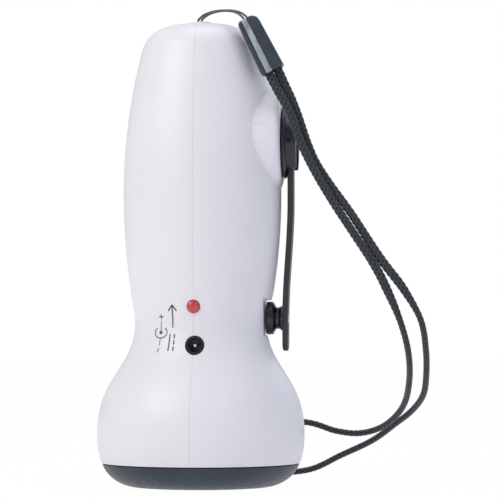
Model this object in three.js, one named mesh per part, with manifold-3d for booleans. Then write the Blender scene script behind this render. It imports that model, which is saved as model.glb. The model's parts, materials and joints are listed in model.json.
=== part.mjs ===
// Hand crank flashlight, standing head down on its bezel, as an assembly of named pieces.
// Millimetres, +Z up. The origin is the middle of the flat ring that the bezel stands on.
// +X is the crank's side, -Y is the side with the charge light and the socket.
// The white body is two half shells that meet on the plane x = 0.
import * as THREE from "three";
import { mergeVertices } from "three/addons/utils/BufferGeometryUtils.js";
import Module from "manifold-3d";

const wasm = await Module();
wasm.setup();

// Clearances
const seatGap = 0.3; // between pieces that rest on each other
const runGap = 0.25; // round a piece that turns or slides
const overrun = 1; // how far a cutter passes the face that it cuts

// Facets of round pieces
const bodySides = 40;
const gearPieceSides = 24;
const opticSides = 36;
const smallSides = 12;
const cordSides = 8;

// Body shells
const wall = 2;
const mouthHeight = 7.5;
const mouthTaper = 1.4; // from the head's widest radius to its mouth
const headLength = 9;
const headRadius = 33.1;
const flareLength = 35.8; // from the head down to the waist
const waistRadius = 21;
const neckLength = 41.7; // from the waist to the fullest part of the grip
const gripRadius = 24.75;
const gripLength = 44; // from there to the shoulder
const shoulderRadius = 19.2;
const crownLength = 9.8;
const mouthHandleShares = { lowRadius: 0.65, lowHeight: 0.27, highHeight: 0.63 };
const flareHandleShares = { low: 0.53, high: 0.413 };
const neckHandleShares = { low: 0.086, high: 0.576 };
const gripHandleShares = { low: 0.35, high: 0.295, slope: 0.25 };
const crownHandleShares = { low: 0.643, slope: 0.25, topRadius: 0.73 };
const curveSteps = { mouth: 2, flare: 5, neck: 4, grip: 4, crown: 5 };
const coarseSteps = { mouth: 1, flare: 4, neck: 3, grip: 2, crown: 3 };
const sideSwell = 0.04; // how much fuller the crank's side is above the neck, as a share of its width
const swellBelow = 4.3; // from the waist down to where that sets in
const swellAbove = 11.7; // from the waist up to where it is full

// Crank boss on the body
const bossRise = 1.45; // how far its flat face stands out past the grip
const bossFaceRadius = 13.2;
const bossShoulderRadius = 15.4;
const bossBaseRadius = 16.2;
const bossShoulderDrop = 0.9;
const bossWallDrop = 6;
const bossDepth = 8.3;
const bossCoreRadius = 8;
const bossHollowRadius = 12.4;
const bossFaceWall = 2.4;

// Crank: hub, hinged arm and knob
const crankDrop = 28.5; // from the shoulder down to the crank's axis
const flangeRadius = 11.5;
const flangeThickness = 1.2;
const flangeBevel = 0.6;
const hubRadius = 9.6;
const hubRise = 1.1; // how far the hub's cheeks stand out past the folded arm
const hubBevel = 0.4;
const armThickness = 1.8;
const armWidth = 8;
const armTipWidth = 7;
const armTail = 10.45; // from the knob's axis to the arm's rounded end
const armJoggle = 1.7; // how far the arm steps in towards the neck
const armStraight = 19;
const armBendShare = 0.5;
const armSteps = 8;
const knuckleRadius = 1.25;
const hingePinRadius = 0.6;
const knobRise = 1.2; // from the waist up to the folded knob's axis
const knobLength = 5.05;
const knobHeadRadius = 5.3;
const knobRimRadius = 4.5;
const knobNeckRadius = 3.4;
const knobFootRadius = 3.9;
const knobProfileShares = { foot: 0.06, neck: 0.2, throat: 0.34, cheek: 0.42, head: 0.52, end: 0.95 };
const knobThroatShare = 0.25; // of the way from the neck out to the head
const knobCheekShare = 0.72;
const rivetRadius = 1.1;
const rivetHeadRadius = 2.1;
const rivetHeadHeight = 0.8;
const rivetFootRadius = 1.9;
const rivetFootHeight = 0.5;

// Recess in the neck, a ring about the crank's axis that the knob passes through
const recessFloorGap = 0.5;
const recessSideGap = 0.4;
const recessPadWall = 1.6;
const recessPadSide = 11.5;
const recessSides = 72;

// Spindle and its bearings
const spindleRadius = 3;
const spindleFlat = 2.3; // from the axis to the flat that keys the drive gear
const journalRadius = 2.1;
const bushWall = 1.6;
const bushFlangeRadius = 6.5;
const bushFlangeThickness = 0.8;
const clipThickness = 0.7;
const clipRadius = 4.4;
const clipGrooveDepth = 0.6;
const clipMouth = 3.4;

// Gear train
const gearModule = 0.65;
const driveTeeth = 40;
const idlerPinionTeeth = 10;
const idlerTeeth = 36;
const rotorPinionTeeth = 9;
const gearWidth = 2.5;
const addendumShare = 0.8; // of the module
const dedendumShare = 1.15;
const rootShare = 0.58; // of the pitch
const tipShare = 0.24;
const idlerPinRadius = 1;
const idlerHubRadius = 2;
const idlerHubLength = 1;
const idlerPostRadius = 3;
const idlerPinSeat = 4;

// Gear plate and its fastening
const plateThickness = 1.4;
const plateHalfWidth = 19;
const plateBelow = 4.9; // from the idler's axis to the lower edge
const plateAbove = 17.4; // from the crank's axis to the upper edge
const postRadius = 2.6;
const plateScrewSide = 15.6;
const plateScrewBelow = 1.25; // from the idler's axis
const plateTopScrewSide = 6.5;
const plateTopScrewRise = 15.2; // from the crank's axis
const plateScrewRadius = 1;
const plateScrewHeadRadius = 1.9;
const plateScrewHeadHeight = 1.3;
const plateScrewReach = 5;

// Generator
const generatorShares = { side: 0.352, radius: 0.44 }; // of the room inside the grip
const generatorMargin = 2.6; // kept free between its rear rim and the shell
const canWall = 0.8;
const capThickness = 1.4;
const coilLength = 5;
const coilInnerRadius = 5.4;
const magnetRadius = 4.6;
const magnetLength = 9.6;
const rotorShaftRadius = 0.9;

// Screws that hold the shells together, driven in from the plain side
const shellScrewRadius = 1.25;
const shellScrewHeadRadius = 2.6;
const shellScrewHeadHeight = 1.8;
const shellScrewLength = 21;
const shellScrewSeat = 13; // depth of the head's seat, from the parting plane
const shellBossRadius = 3.9;
const screwCrownShare = 0.6; // of the head's radius
const screwRimShare = 0.6; // of the head's height
const screwSlotShare = 0.35; // of the shank's radius
const topScrewSide = 4;
const topScrewDrop = 6.5; // below the shoulder
const gripScrewSide = 15.5;
const gripScrewDrop = 9.25; // below the idler's axis
const headScrewSide = 21;
const headScrewRise = 14.5; // above the widest part of the head
const neckScrewSide = 9;
const neckScrewDrop = 4.9; // below the socket

// Bezel, lens and lamp
const bezelStandInset = 9.7; // from the mouth's radius
const bezelStandWidth = 1.6;
const bezelLowInset = 6;
const bezelLowHeight = 1.1;
const bezelMidInset = 3.3;
const bezelMidHeight = 2.84;
const bezelHighInset = 1.4;
const bezelHighHeight = 4.9;
const collarWall = 1.7;
const collarHeight = 5.8; // above the shells' mouth
const lensThickness = 2;
const lensLedge = 3.4; // height of the face that the lens lies on
const lensLedgeWidth = 2.4;
const sealSection = 1.2;
const reflectorFlange = 1;
const reflectorFlangeWidth = 2.4;
const reflectorWall = 1.2;
const reflectorDepth = 19.3;
const reflectorFloorRadius = 9;
const reflectorSteps = 5;
const ledRadius = 2.5;
const ledFlangeRadius = 2.9;
const ledFlangeHeight = 1;
const ledBodyHeight = 3.4;
const ledCircleRadius = 5;
const ledCount = 3;
const ledBoardRadius = 11;
const boardThickness = 1.6;

// Socket and charge light on the seam
const jackDrop = 7.4; // below the waist
const jackSide = 0.45;
const jackFaceRadius = 3.1;
const jackSocketRadius = 1.95;
const jackSocketDepth = 8;
const jackBodyWidth = 9;
const jackBodyHeight = 9;
const jackBodyDepth = 11;
const jackNoseLength = 3.4;
const jackInset = 0.3; // how far its face lies inside the body's skin
const jackPinRadius = 0.65;
const jackPinInset = 1.2;
const lightRise = 4.7; // above the waist
const lightRadius = 2.2;
const lightProud = 0.9;
const lightLength = 6.2;
const lightFlange = 0.7;
const lightDomeShare = 0.5; // of the radius

// Main board, cells and switch
const boardInset = 5; // from the parting plane to the board's near face
const boardHalfDepth = 15;
const boardBelow = 8.9; // from the socket's axis down to the lower edge
const boardDrop = 6; // from the grip screws down to the board's upper edge
const cellRadius = 7.75;
const cellHeight = 6.1;
const cellCount = 3;
const cellDrop = 6.8; // from the grip screws down to the cradle's upper shelf
const cradleWall = 1.5;
const cradleHalfWidth = 8;
const cradleShelf = 15;
const capacitorRadius = 3.1;
const capacitorLength = 11;
const switchPanelDrop = 14; // below the grip screws
const switchPanelLength = 15;
const switchPanelHalfWidth = 5;
const switchPanelDepth = 1.3;
const switchPanelWall = 1.8;
const switchTravel = 4;
const switchStemWidth = 2.6;
const switchStemLength = 3;
const switchPadHalfWidth = 4.4;
const switchPadThickness = 2;
const switchRibCount = 4;
const switchRibWidth = 0.8;
const switchRibDepth = 0.6;
const switchBodyWidth = 5;
const switchBodyLength = 10;
const switchBodyDepth = 8;

// Wrist strap: anchor, string, clamp and loop
const wellRadius = 2.6;
const wellDepth = 6.2;
const wellRimWidth = 0.9;
const wellRimRise = 0.5;
const wellBlockRadius = 6;
const wellBlockFloor = 1.6;
const strapPinRadius = 0.7;
const strapPinDrop = 3; // below the top of the body
const strapPinSeat = 2;
const stringDiameter = 0.75;
const strapDiameter = 2.3;
const clampTop = [15.97, -14, 147.67];
const clampBottom = [24.39, -14, 130.97];
const clampTopWidth = 6.65;
const clampBottomWidth = 7.7;
const clampDepth = 6.2;
const clampInsertShares = { from: 0.2, to: 0.52 }; // of the width
const clampInsertDepth = 3.2;
const strapPocket = { halfWidth: 2.95, halfDepth: 2.6, depth: 2.1 }; // where the cords enter the clamp
const stringPocket = { halfWidth: 1.3, halfDepth: 0.9, depth: 1.2 };

// The string's route: from the clamp to the anchor pin, round it and back
const stringRoute = [
  [15.8, -13.75, 146.75],
  [13.72, -12.3, 149.05],
  [11.91, -10.4, 150.21],
  [9.52, -8.4, 150.87],
  [6.94, -6.3, 151.14],
  [3.93, -3.9, 150.82],
  [2.03, -2.3, 150.21],
  [0.27, -0.7, 148.83],
  [0.6, -0.5, 147.2],
  [1.6, -0.3, 145.1],
  [1.25, -0.15, 143.7],
  [0, 0, 143.1],
  [-1.25, 0.15, 143.7],
  [-1.6, 0.3, 145.1],
  [-1.5, 0.6, 147.3],
  [-1, 0.9, 149.17],
  [0.41, 0.1, 150.44],
  [2.14, -1.3, 151.08],
  [5.05, -3.8, 151.49],
  [8.34, -6.2, 151.36],
  [11.12, -8.5, 150.94],
  [13.43, -10.6, 150.13],
  [15.07, -12.9, 149.02],
  [16.85, -14.25, 147.25],
];

// The strap's route: out of the clamp, down to the floor behind the head, round and back
const strapRoute = [
  [25, -13.5, 133.1],
  [28.1, -13, 126.22],
  [31.37, -12.1, 118.87],
  [34.79, -11.6, 108.79],
  [37.49, -11.5, 102.48],
  [41.49, -11.6, 96.15],
  [48.54, -12, 86.35],
  [58.19, -12, 71.58],
  [65.23, -11.7, 62.18],
  [70.33, -10.3, 52.81],
  [71.81, -4.5, 43.39],
  [71.58, 5.5, 33.77],
  [70.54, 12, 28.83],
  [66.67, 22, 23.55],
  [60.44, 31, 18.53],
  [53.23, 38.5, 13.22],
  [42.36, 45.5, 7.87],
  [30.51, 50.5, 2.52],
  [10, 52.4, 2],
  [-1.6, 49.2, 5],
  [-2.8, 40.4, 14.4],
  [8, 35.6, 18.4],
  [31.42, 37.4, 19.07],
  [41.24, 36.9, 16.26],
  [48.65, 35, 15.6],
  [56.49, 30, 17.86],
  [63.27, 20.5, 24.07],
  [66.25, 6, 33.43],
  [66.15, -4.8, 43.39],
  [63.79, -10.3, 52.81],
  [60.2, -11.8, 61.56],
  [56.15, -12.6, 69.69],
  [48.85, -13.3, 80.96],
  [43.88, -12.9, 88.53],
  [39.33, -13.8, 96.03],
  [35.89, -14, 102.32],
  [32.92, -14.1, 108.61],
  [29.5, -14.6, 118.03],
  [25.29, -14.55, 125.94],
  [22.25, -14.5, 131.9],
];
const stringSteps = 30;
const strapSteps = 54;

// Places worked out from the sizes, along X for the crank and its gears
const bossFace = gripRadius + bossRise;
const bossBack = bossFace - bossDepth;
const flangeBack = bossFace + seatGap;
const flangeFace = flangeBack + flangeThickness;
const armBack = flangeFace + seatGap;
const hubFace = armBack + armThickness + hubRise;
const pivotX = armBack + armThickness / 2;
const knobFace = armBack - armJoggle - runGap;
const knobEnd = knobFace - knobLength;
const recessFloor = knobEnd - recessFloorGap;
const bushFlangeFace = bossBack - seatGap;
const bushFlangeBack = bushFlangeFace - bushFlangeThickness;
const driveFront = bushFlangeBack - runGap;
const driveBack = driveFront - gearWidth;
const clipFront = driveBack - runGap;
const clipBack = clipFront - clipThickness;
const idlerFront = clipBack - runGap;
const idlerBack = idlerFront - gearWidth;
const plateFront = idlerBack - idlerHubLength - runGap;
const plateBack = plateFront - plateThickness;
const capFront = plateBack - seatGap;
const capBack = capFront - capThickness;
const canFront = capBack - seatGap;
const gripRoom = gripRadius - wall;
const rotorSide = gripRoom * generatorShares.side; // behind the crank's axis, along Y
const generatorRadius = gripRoom * generatorShares.radius;
const canBack = -Math.sqrt((gripRoom - generatorMargin) ** 2 - (rotorSide + generatorRadius) ** 2);
const spindleEnd = plateBack;

// Places in the height
const mouthRadius = headRadius - mouthTaper;
const headHeight = mouthHeight + headLength;
const waistHeight = headHeight + flareLength;
const gripHeight = waistHeight + neckLength;
const shoulderHeight = gripHeight + gripLength;
const bodyHeight = shoulderHeight + crownLength;
const crankHeight = shoulderHeight - crankDrop;
const knobHeight = waistHeight + knobRise;
const crankRadius = crankHeight - knobHeight;
const jackHeight = waistHeight - jackDrop;
const lightHeight = waistHeight + lightRise;
const idlerHeight = crankHeight - ((driveTeeth + idlerPinionTeeth) * gearModule) / 2;
const rotorReach = ((idlerTeeth + rotorPinionTeeth) * gearModule) / 2;
const rotorHeight = idlerHeight + Math.sqrt(rotorReach ** 2 - rotorSide ** 2);
const gripScrewHeight = idlerHeight - gripScrewDrop;
const switchPanelHeight = gripScrewHeight - switchPanelDrop;
const boardBottom = jackHeight - boardBelow;
const boardTop = gripScrewHeight - boardDrop;
const boardBack = -boardInset - boardThickness;
const cellBottom = gripScrewHeight - cellDrop - cellCount * (cellHeight + seatGap);
const cellX = cellRadius + cradleWall + 2 * seatGap - boardInset;
const lensBottom = lensLedge + seatGap;
const lensTop = lensBottom + lensThickness;
const sealBottom = lensTop + seatGap;
const flangeBottom = sealBottom + sealSection + seatGap;
const reflectorTop = flangeBottom + reflectorDepth;
const ledBoardBottom = reflectorTop + reflectorWall + seatGap;
const collarOuterRadius = mouthRadius - wall - seatGap;
const collarInnerRadius = collarOuterRadius - collarWall;
const lensRadius = collarInnerRadius - seatGap;

// Finishes
function finish(color, roughness, metalness = 0) {
  return new THREE.MeshStandardMaterial({ color, roughness, metalness });
}

const whiteAbs = finish(0xe6e6ee, 0.32);
const greyAbs = finish(0x3c464b, 0.45);
const blackAbs = finish(0x17191c, 0.25);
const darkNylon = finish(0x2a3038, 0.5);
const lightNylon = finish(0x8d959b, 0.5);
const strapWeave = finish(0x23282c, 0.85);
const acetal = finish(0xe9e6da, 0.4);
const steel = finish(0xb9bcc0, 0.3, 1);
const brass = finish(0xc7a45a, 0.35, 1);
const chromePlate = finish(0xe8eaec, 0.08, 1);
const boardGreen = finish(0x1f6b45, 0.5);
const clearPlastic = finish(0xdfe8ee, 0.05);
const redLens = finish(0xc4353a, 0.2);
const blackRubber = finish(0x1b1b1b, 0.8);
const ferrite = finish(0x35332f, 0.6);
const copper = finish(0xb06a3b, 0.35, 1);
const sleeveGreen = finish(0x3f6f5a, 0.5);

// A closed geometry as a solid that can be joined and cut, its faces turned outwards.
function solid(shape) {
  if (!shape.isBufferGeometry) return shape;
  const bare = shape.clone();
  bare.deleteAttribute("normal");
  bare.deleteAttribute("uv");
  const merged = mergeVertices(bare);
  const vertProperties = merged.attributes.position.array;
  const triVerts = new Uint32Array(merged.index.array);
  const made = new wasm.Manifold(new wasm.Mesh({ numProp: 3, vertProperties, triVerts }));
  if (made.volume() > 0) return made;
  return new wasm.Manifold(new wasm.Mesh({ numProp: 3, vertProperties, triVerts: triVerts.reverse() }));
}

function join(first, ...others) {
  return others.reduce((made, other) => made.add(solid(other)), solid(first));
}

function cut(first, ...others) {
  return others.reduce((made, other) => made.subtract(solid(other)), solid(first));
}

function meet(first, ...others) {
  return others.reduce((made, other) => made.intersect(solid(other)), solid(first));
}

// A named mesh of a solid.
function piece(name, shape, material) {
  const made = solid(shape).getMesh();
  const geometry = new THREE.BufferGeometry();
  geometry.setAttribute("position", new THREE.BufferAttribute(made.vertProperties, 3));
  geometry.setIndex(new THREE.BufferAttribute(made.triVerts, 1));
  geometry.computeVertexNormals();
  const mesh = new THREE.Mesh(geometry, material);
  mesh.name = name;
  return mesh;
}

// Turns a shape that was made along Z so that it lies along X or Y.
function along(axis, geometry) {
  if (axis === "x") return geometry.rotateY(Math.PI / 2);
  if (axis === "y") return geometry.rotateX(-Math.PI / 2);
  return geometry;
}

// A turned solid. The profile is a list of [radius, place along the axis].
function turned(axis, profile, sides) {
  const points = profile.map(([radius, place]) => new THREE.Vector2(radius, place));
  return along(axis, new THREE.LatheGeometry(points, sides).rotateX(Math.PI / 2));
}

// A round rod from one place on its axis to another, moved sideways by the offset.
function rod(axis, radius, from, to, sides, offset = [0, 0, 0]) {
  const profile = [
    [0, from],
    [radius, from],
    [radius, to],
    [0, to],
  ];
  return turned(axis, profile, sides).translate(...offset);
}

// A tube, or a ring, with its bore.
function tube(axis, outer, inner, from, to, sides, offset = [0, 0, 0]) {
  const profile = [
    [inner, from],
    [outer, from],
    [outer, to],
    [inner, to],
    [inner, from],
  ];
  return turned(axis, profile, sides).translate(...offset);
}

// A box from its low corner to its high corner.
function block(low, high) {
  const size = high.map((value, i) => value - low[i]);
  const middle = high.map((value, i) => (value + low[i]) / 2);
  return new THREE.BoxGeometry(...size).translate(...middle);
}

// The outline of the body from mouth to top, drawn in by an inset.
function bodyOutline(inset, steps) {
  const r = (radius) => radius - inset;
  const top = bodyHeight - inset;
  const mouth = new THREE.Vector2(r(mouthRadius), mouthHeight);
  const head = new THREE.Vector2(r(headRadius), headHeight);
  const waist = new THREE.Vector2(r(waistRadius), waistHeight);
  const grip = new THREE.Vector2(r(gripRadius), gripHeight);
  const shoulder = new THREE.Vector2(r(shoulderRadius), shoulderHeight - inset);
  const crown = new THREE.Vector2(0, top);
  const at = (radius, height) => new THREE.Vector2(radius, height);
  const mouthRise = head.y - mouth.y;
  const flareRise = waist.y - head.y;
  const neckRise = grip.y - waist.y;
  const gripRise = shoulder.y - grip.y;
  const crownRise = top - shoulder.y;
  const mouthSwell = (head.x - mouth.x) * mouthHandleShares.lowRadius;
  const gripPull = gripRise * gripHandleShares.high;
  const crownPull = crownRise * crownHandleShares.low;
  const curves = [
    [
      new THREE.CubicBezierCurve(
        mouth,
        at(mouth.x + mouthSwell, mouth.y + mouthRise * mouthHandleShares.lowHeight),
        at(head.x, mouth.y + mouthRise * mouthHandleShares.highHeight),
        head,
      ),
      steps.mouth,
    ],
    [
      new THREE.CubicBezierCurve(
        head,
        at(head.x, head.y + flareRise * flareHandleShares.low),
        at(waist.x, waist.y - flareRise * flareHandleShares.high),
        waist,
      ),
      steps.flare,
    ],
    [
      new THREE.CubicBezierCurve(
        waist,
        at(waist.x, waist.y + neckRise * neckHandleShares.low),
        at(grip.x, grip.y - neckRise * neckHandleShares.high),
        grip,
      ),
      steps.neck,
    ],
    [
      new THREE.CubicBezierCurve(
        grip,
        at(grip.x, grip.y + gripRise * gripHandleShares.low),
        at(shoulder.x + gripPull * gripHandleShares.slope, shoulder.y - gripPull),
        shoulder,
      ),
      steps.grip,
    ],
    [
      new THREE.CubicBezierCurve(
        shoulder,
        at(shoulder.x - crownPull * crownHandleShares.slope, shoulder.y + crownPull),
        at(shoulder.x * crownHandleShares.topRadius, top),
        crown,
      ),
      steps.crown,
    ],
  ];
  const points = [[mouth.x, mouth.y]];
  for (const [curve, count] of curves) {
    for (const point of curve.getPoints(count).slice(1)) points.push([point.x, point.y]);
  }
  return points;
}

// The body's radius at a height, from its outline.
function bodyRadiusAt(height) {
  const outline = bodyOutline(0, curveSteps);
  const i = outline.findIndex(([, z]) => z >= height);
  const [lowRadius, lowZ] = outline[i - 1];
  const [highRadius, highZ] = outline[i];
  return lowRadius + ((highRadius - lowRadius) * (height - lowZ)) / (highZ - lowZ);
}

// Draws out the crank's side of a body form, which is a little fuller there above the neck.
function swelled(geometry) {
  const places = geometry.attributes.position;
  for (let i = 0; i < places.count; i++) {
    const x = places.getX(i);
    const share = THREE.MathUtils.smoothstep(places.getZ(i), waistHeight - swellBelow, waistHeight + swellAbove);
    if (x > 0) places.setX(i, x * (1 + sideSwell * share));
  }
  return geometry;
}

// The full outer form of the body, with no hollow.
function bodyForm(inset = 0, steps = curveSteps) {
  return swelled(turned("z", [[0, mouthHeight], ...bodyOutline(inset, steps)], bodySides));
}

// The boss that carries the crank, along X at the crank's height.
function crankBoss() {
  const profile = [
    [0, bossBack],
    [bossBaseRadius, bossBack],
    [bossBaseRadius, bossFace - bossWallDrop],
    [bossShoulderRadius, bossFace - bossShoulderDrop],
    [bossFaceRadius, bossFace],
    [0, bossFace],
  ];
  return turned("x", profile, bodySides).translate(0, 0, crankHeight);
}

// A ring about the crank's axis, as wide as the knob's head and a margin.
function recessRing(margin, from, to) {
  const outer = crankRadius + knobHeadRadius + margin;
  const inner = crankRadius - knobHeadRadius - margin;
  return tube("x", outer, inner, from, to, recessSides, [0, 0, crankHeight]);
}

// Where the screws cross the parting plane, each [y, z].
function shellScrewPlaces() {
  return [
    [topScrewSide, shoulderHeight - topScrewDrop],
    [gripScrewSide, gripScrewHeight],
    [headScrewSide, headHeight + headScrewRise],
    [neckScrewSide, jackHeight - neckScrewDrop],
  ];
}

// Where the plate's screws enter their posts, each [y, z].
function plateScrewPlaces() {
  return [
    [plateScrewSide, idlerHeight - plateScrewBelow],
    [-plateScrewSide, idlerHeight - plateScrewBelow],
    [-plateTopScrewSide, crankHeight + plateTopScrewRise],
  ];
}

// The block inside the crown that holds the anchor pin, and the rim round its well.
function crownBlock() {
  const rim = wellRadius + wellRimWidth;
  const floor = bodyHeight - wellDepth - wellBlockFloor;
  const blockTop = bodyHeight - wall / 2;
  return join(
    rod("z", wellBlockRadius, floor, blockTop, gearPieceSides),
    rod("z", rim, floor, bodyHeight + wellRimRise, gearPieceSides),
  );
}

// The whole body with its ribs, posts and openings, before it is parted in two.
function bodyWithDetails() {
  const mouthProfile = [
    [0, mouthHeight - overrun],
    [mouthRadius - wall, mouthHeight - overrun],
  ];
  const cavity = swelled(turned("z", [...mouthProfile, ...bodyOutline(wall, coarseSteps)], bodySides));
  const form = join(bodyForm(), crankBoss());
  const panelY = bodyRadiusAt(switchPanelHeight) - switchPanelDepth;
  const pad = meet(
    recessRing(recessPadWall, recessFloor - recessPadWall, gripRadius),
    block([0, -recessPadSide, mouthHeight], [gripRadius, recessPadSide, bodyHeight]),
    bodyForm(wall / 2),
  );
  const panelBack = block(
    [
      -switchPanelHalfWidth - switchPanelWall,
      panelY - switchPanelWall,
      switchPanelHeight - switchPanelLength / 2 - switchPanelWall,
    ],
    [
      switchPanelHalfWidth + switchPanelWall,
      panelY + switchPanelDepth / 2,
      switchPanelHeight + switchPanelLength / 2 + switchPanelWall,
    ],
  );
  const shell = join(cut(form, cavity), pad, meet(panelBack, bodyForm(wall / 2)), crownBlock());
  const bossHollow = tube(
    "x",
    bossHollowRadius,
    bossCoreRadius,
    bossBack - overrun,
    bossFace - bossFaceWall,
    gearPieceSides,
    [0, 0, crankHeight],
  );
  const panelCut = block(
    [-switchPanelHalfWidth, panelY, switchPanelHeight - switchPanelLength / 2],
    [switchPanelHalfWidth, gripRadius + overrun, switchPanelHeight + switchPanelLength / 2],
  );
  const windowHalfLength = (switchStemLength + switchTravel) / 2 + 2 * runGap;
  const windowHalfWidth = switchStemWidth / 2 + runGap;
  const windowCut = block(
    [-windowHalfWidth, panelY - switchPanelWall - overrun, switchPanelHeight - windowHalfLength],
    [windowHalfWidth, panelY + overrun, switchPanelHeight + windowHalfLength],
  );
  const pinHeight = bodyHeight - strapPinDrop;
  const pinReach = wellRadius + strapPinSeat + seatGap;
  return cut(
    join(shell, crankBoss()),
    bossHollow,
    recessRing(recessSideGap, recessFloor, gripRadius + overrun),
    rod("x", spindleRadius + runGap + bushWall + seatGap, bossBack - overrun, bossFace + overrun, gearPieceSides, [
      0,
      0,
      crankHeight,
    ]),
    rod("y", jackFaceRadius + seatGap / 2, -headRadius, -waistRadius / 2, gearPieceSides, [jackSide, 0, jackHeight]),
    rod("y", lightRadius + seatGap / 2, -headRadius, -waistRadius / 2, gearPieceSides, [0, 0, lightHeight]),
    rod("z", wellRadius, bodyHeight - wellDepth, bodyHeight + wellRimRise + overrun, gearPieceSides),
    rod("y", strapPinRadius + seatGap / 2, -pinReach, pinReach, smallSides, [0, 0, pinHeight]),
    panelCut,
    windowCut,
  );
}

// One side's screw posts, with the far side's reach, joined inside the shell's skin.
function crankSideShell(body) {
  const half = meet(body, block([seatGap / 2, -headRadius, 0], [headRadius, headRadius, bodyHeight + wall]));
  const inside = bodyForm(wall / 2);
  const far = headRadius;
  const screwPosts = shellScrewPlaces().map(([y, z]) => {
    const start = z < boardTop && z > boardBottom ? seatGap - boardInset : seatGap / 2;
    return rod("x", shellBossRadius, start, far, smallSides, [0, y, z]);
  });
  const platePosts = plateScrewPlaces().map(([y, z]) =>
    rod("x", postRadius, plateFront + seatGap, far, smallSides, [0, y, z]),
  );
  const idlerPost = rod("x", idlerPostRadius, driveFront + runGap, far, smallSides, [0, 0, idlerHeight]);
  const posts = meet(join(...screwPosts, ...platePosts, idlerPost), inside);
  const screwTip = shellScrewLength - shellScrewSeat + seatGap;
  const holes = [
    ...shellScrewPlaces().map(([y, z]) =>
      rod("x", shellScrewRadius + runGap, -far, screwTip, smallSides, [0, y, z]),
    ),
    ...plateScrewPlaces().map(([y, z]) =>
      rod("x", plateScrewRadius + runGap, 0, plateFront + plateScrewReach + seatGap, smallSides, [0, y, z]),
    ),
    rod("x", idlerPinRadius + runGap, 0, driveFront + runGap + idlerPinSeat + seatGap, smallSides, [
      0,
      0,
      idlerHeight,
    ]),
  ];
  return piece("crank_side_shell", cut(join(half, posts), ...holes), whiteAbs);
}

function plainSideShell(body) {
  const half = meet(body, block([-headRadius, -headRadius, 0], [-seatGap / 2, headRadius, bodyHeight + wall]));
  const inside = bodyForm(wall / 2);
  const far = -headRadius;
  const posts = shellScrewPlaces().map(([y, z]) => {
    const end = z < boardTop && z > boardBottom ? boardBack - seatGap : -seatGap / 2;
    return rod("x", shellBossRadius, far, end, smallSides, [0, y, z]);
  });
  const holes = shellScrewPlaces().flatMap(([y, z]) => [
    rod("x", shellScrewRadius + runGap, far, overrun, smallSides, [0, y, z]),
    rod("x", shellScrewHeadRadius + runGap, far, -shellScrewSeat, smallSides, [0, y, z]),
  ]);
  return piece("plain_side_shell", cut(join(half, meet(join(...posts), inside)), ...holes), whiteAbs);
}

// A screw along X with a round head at its low end.
function screw(name, radius, capRadius, capHeight, seat, reach, y, z) {
  const profile = [
    [0, seat - capHeight],
    [capRadius * screwCrownShare, seat - capHeight],
    [capRadius, seat - capHeight * screwRimShare],
    [capRadius, seat],
    [radius, seat],
    [radius, seat + reach],
    [0, seat + reach + radius],
  ];
  const slotHalf = radius * screwSlotShare;
  const slot = block(
    [seat - capHeight - overrun, -slotHalf, -capRadius],
    [seat - capHeight * screwRimShare, slotHalf, capRadius],
  );
  return piece(name, cut(turned("x", profile, smallSides), slot).translate([0, y, z]), steel);
}

// Bezel ring: the dark rim that screws into the shells' mouth and holds the lens.
function bezelRing() {
  const shoulder = mouthHeight - seatGap;
  const standRadius = mouthRadius - bezelStandInset;
  const profile = [
    [standRadius - bezelStandWidth, 0],
    [standRadius, 0],
    [mouthRadius - bezelLowInset, bezelLowHeight],
    [mouthRadius - bezelMidInset, bezelMidHeight],
    [mouthRadius - bezelHighInset, bezelHighHeight],
    [mouthRadius - seatGap, shoulder],
    [collarOuterRadius, shoulder],
    [collarOuterRadius, mouthHeight + collarHeight],
    [collarInnerRadius, mouthHeight + collarHeight],
    [collarInnerRadius, lensLedge],
    [collarInnerRadius - lensLedgeWidth, lensLedge],
    [standRadius - bezelStandWidth, 0],
  ];
  return piece("bezel_ring", turned("z", profile, bodySides), greyAbs);
}

function lens() {
  return piece("lens", rod("z", lensRadius, lensBottom, lensTop, opticSides), clearPlastic);
}

function lensSeal() {
  const outer = lensRadius;
  return piece(
    "lens_seal",
    tube("z", outer, outer - sealSection, sealBottom, sealBottom + sealSection, opticSides),
    blackRubber,
  );
}

// Where each lamp stands on its circle.
function ledPlaces() {
  return Array.from({ length: ledCount }, (_, i) => {
    const turn = (i * 2 * Math.PI) / ledCount + Math.PI / 2;
    return [ledCircleRadius * Math.cos(turn), ledCircleRadius * Math.sin(turn)];
  });
}

// Reflector: a bowl on a parabola, plated inside, with a flat floor that the lamps come through.
function reflector() {
  const rimRadius = lensRadius - reflectorFlangeWidth;
  const bowl = (step) => {
    const share = step / reflectorSteps;
    const square = rimRadius ** 2 + (reflectorFloorRadius ** 2 - rimRadius ** 2) * share;
    return [Math.sqrt(square), flangeBottom + reflectorDepth * share];
  };
  const inner = Array.from({ length: reflectorSteps + 1 }, (_, step) => bowl(step));
  const outer = inner.map(([radius, z]) => [radius + reflectorWall, z]).reverse();
  outer[0] = [reflectorFloorRadius + reflectorWall, reflectorTop + reflectorWall];
  outer.pop();
  const profile = [
    [0, reflectorTop],
    ...[...inner].reverse(),
    [lensRadius, flangeBottom],
    [lensRadius, flangeBottom + reflectorFlange],
    ...outer.reverse().filter(([, z]) => z > flangeBottom + reflectorFlange),
    [0, reflectorTop + reflectorWall],
  ];
  const holes = ledPlaces().map(([x, y]) =>
    rod("z", ledFlangeRadius + seatGap, reflectorTop - overrun, reflectorTop + 2 * reflectorWall, smallSides, [
      x,
      y,
      0,
    ]),
  );
  return piece("reflector", cut(turned("z", profile, opticSides), ...holes), chromePlate);
}

function ledBoard() {
  return piece(
    "led_board",
    rod("z", ledBoardRadius, ledBoardBottom, ledBoardBottom + boardThickness, gearPieceSides),
    boardGreen,
  );
}

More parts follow.
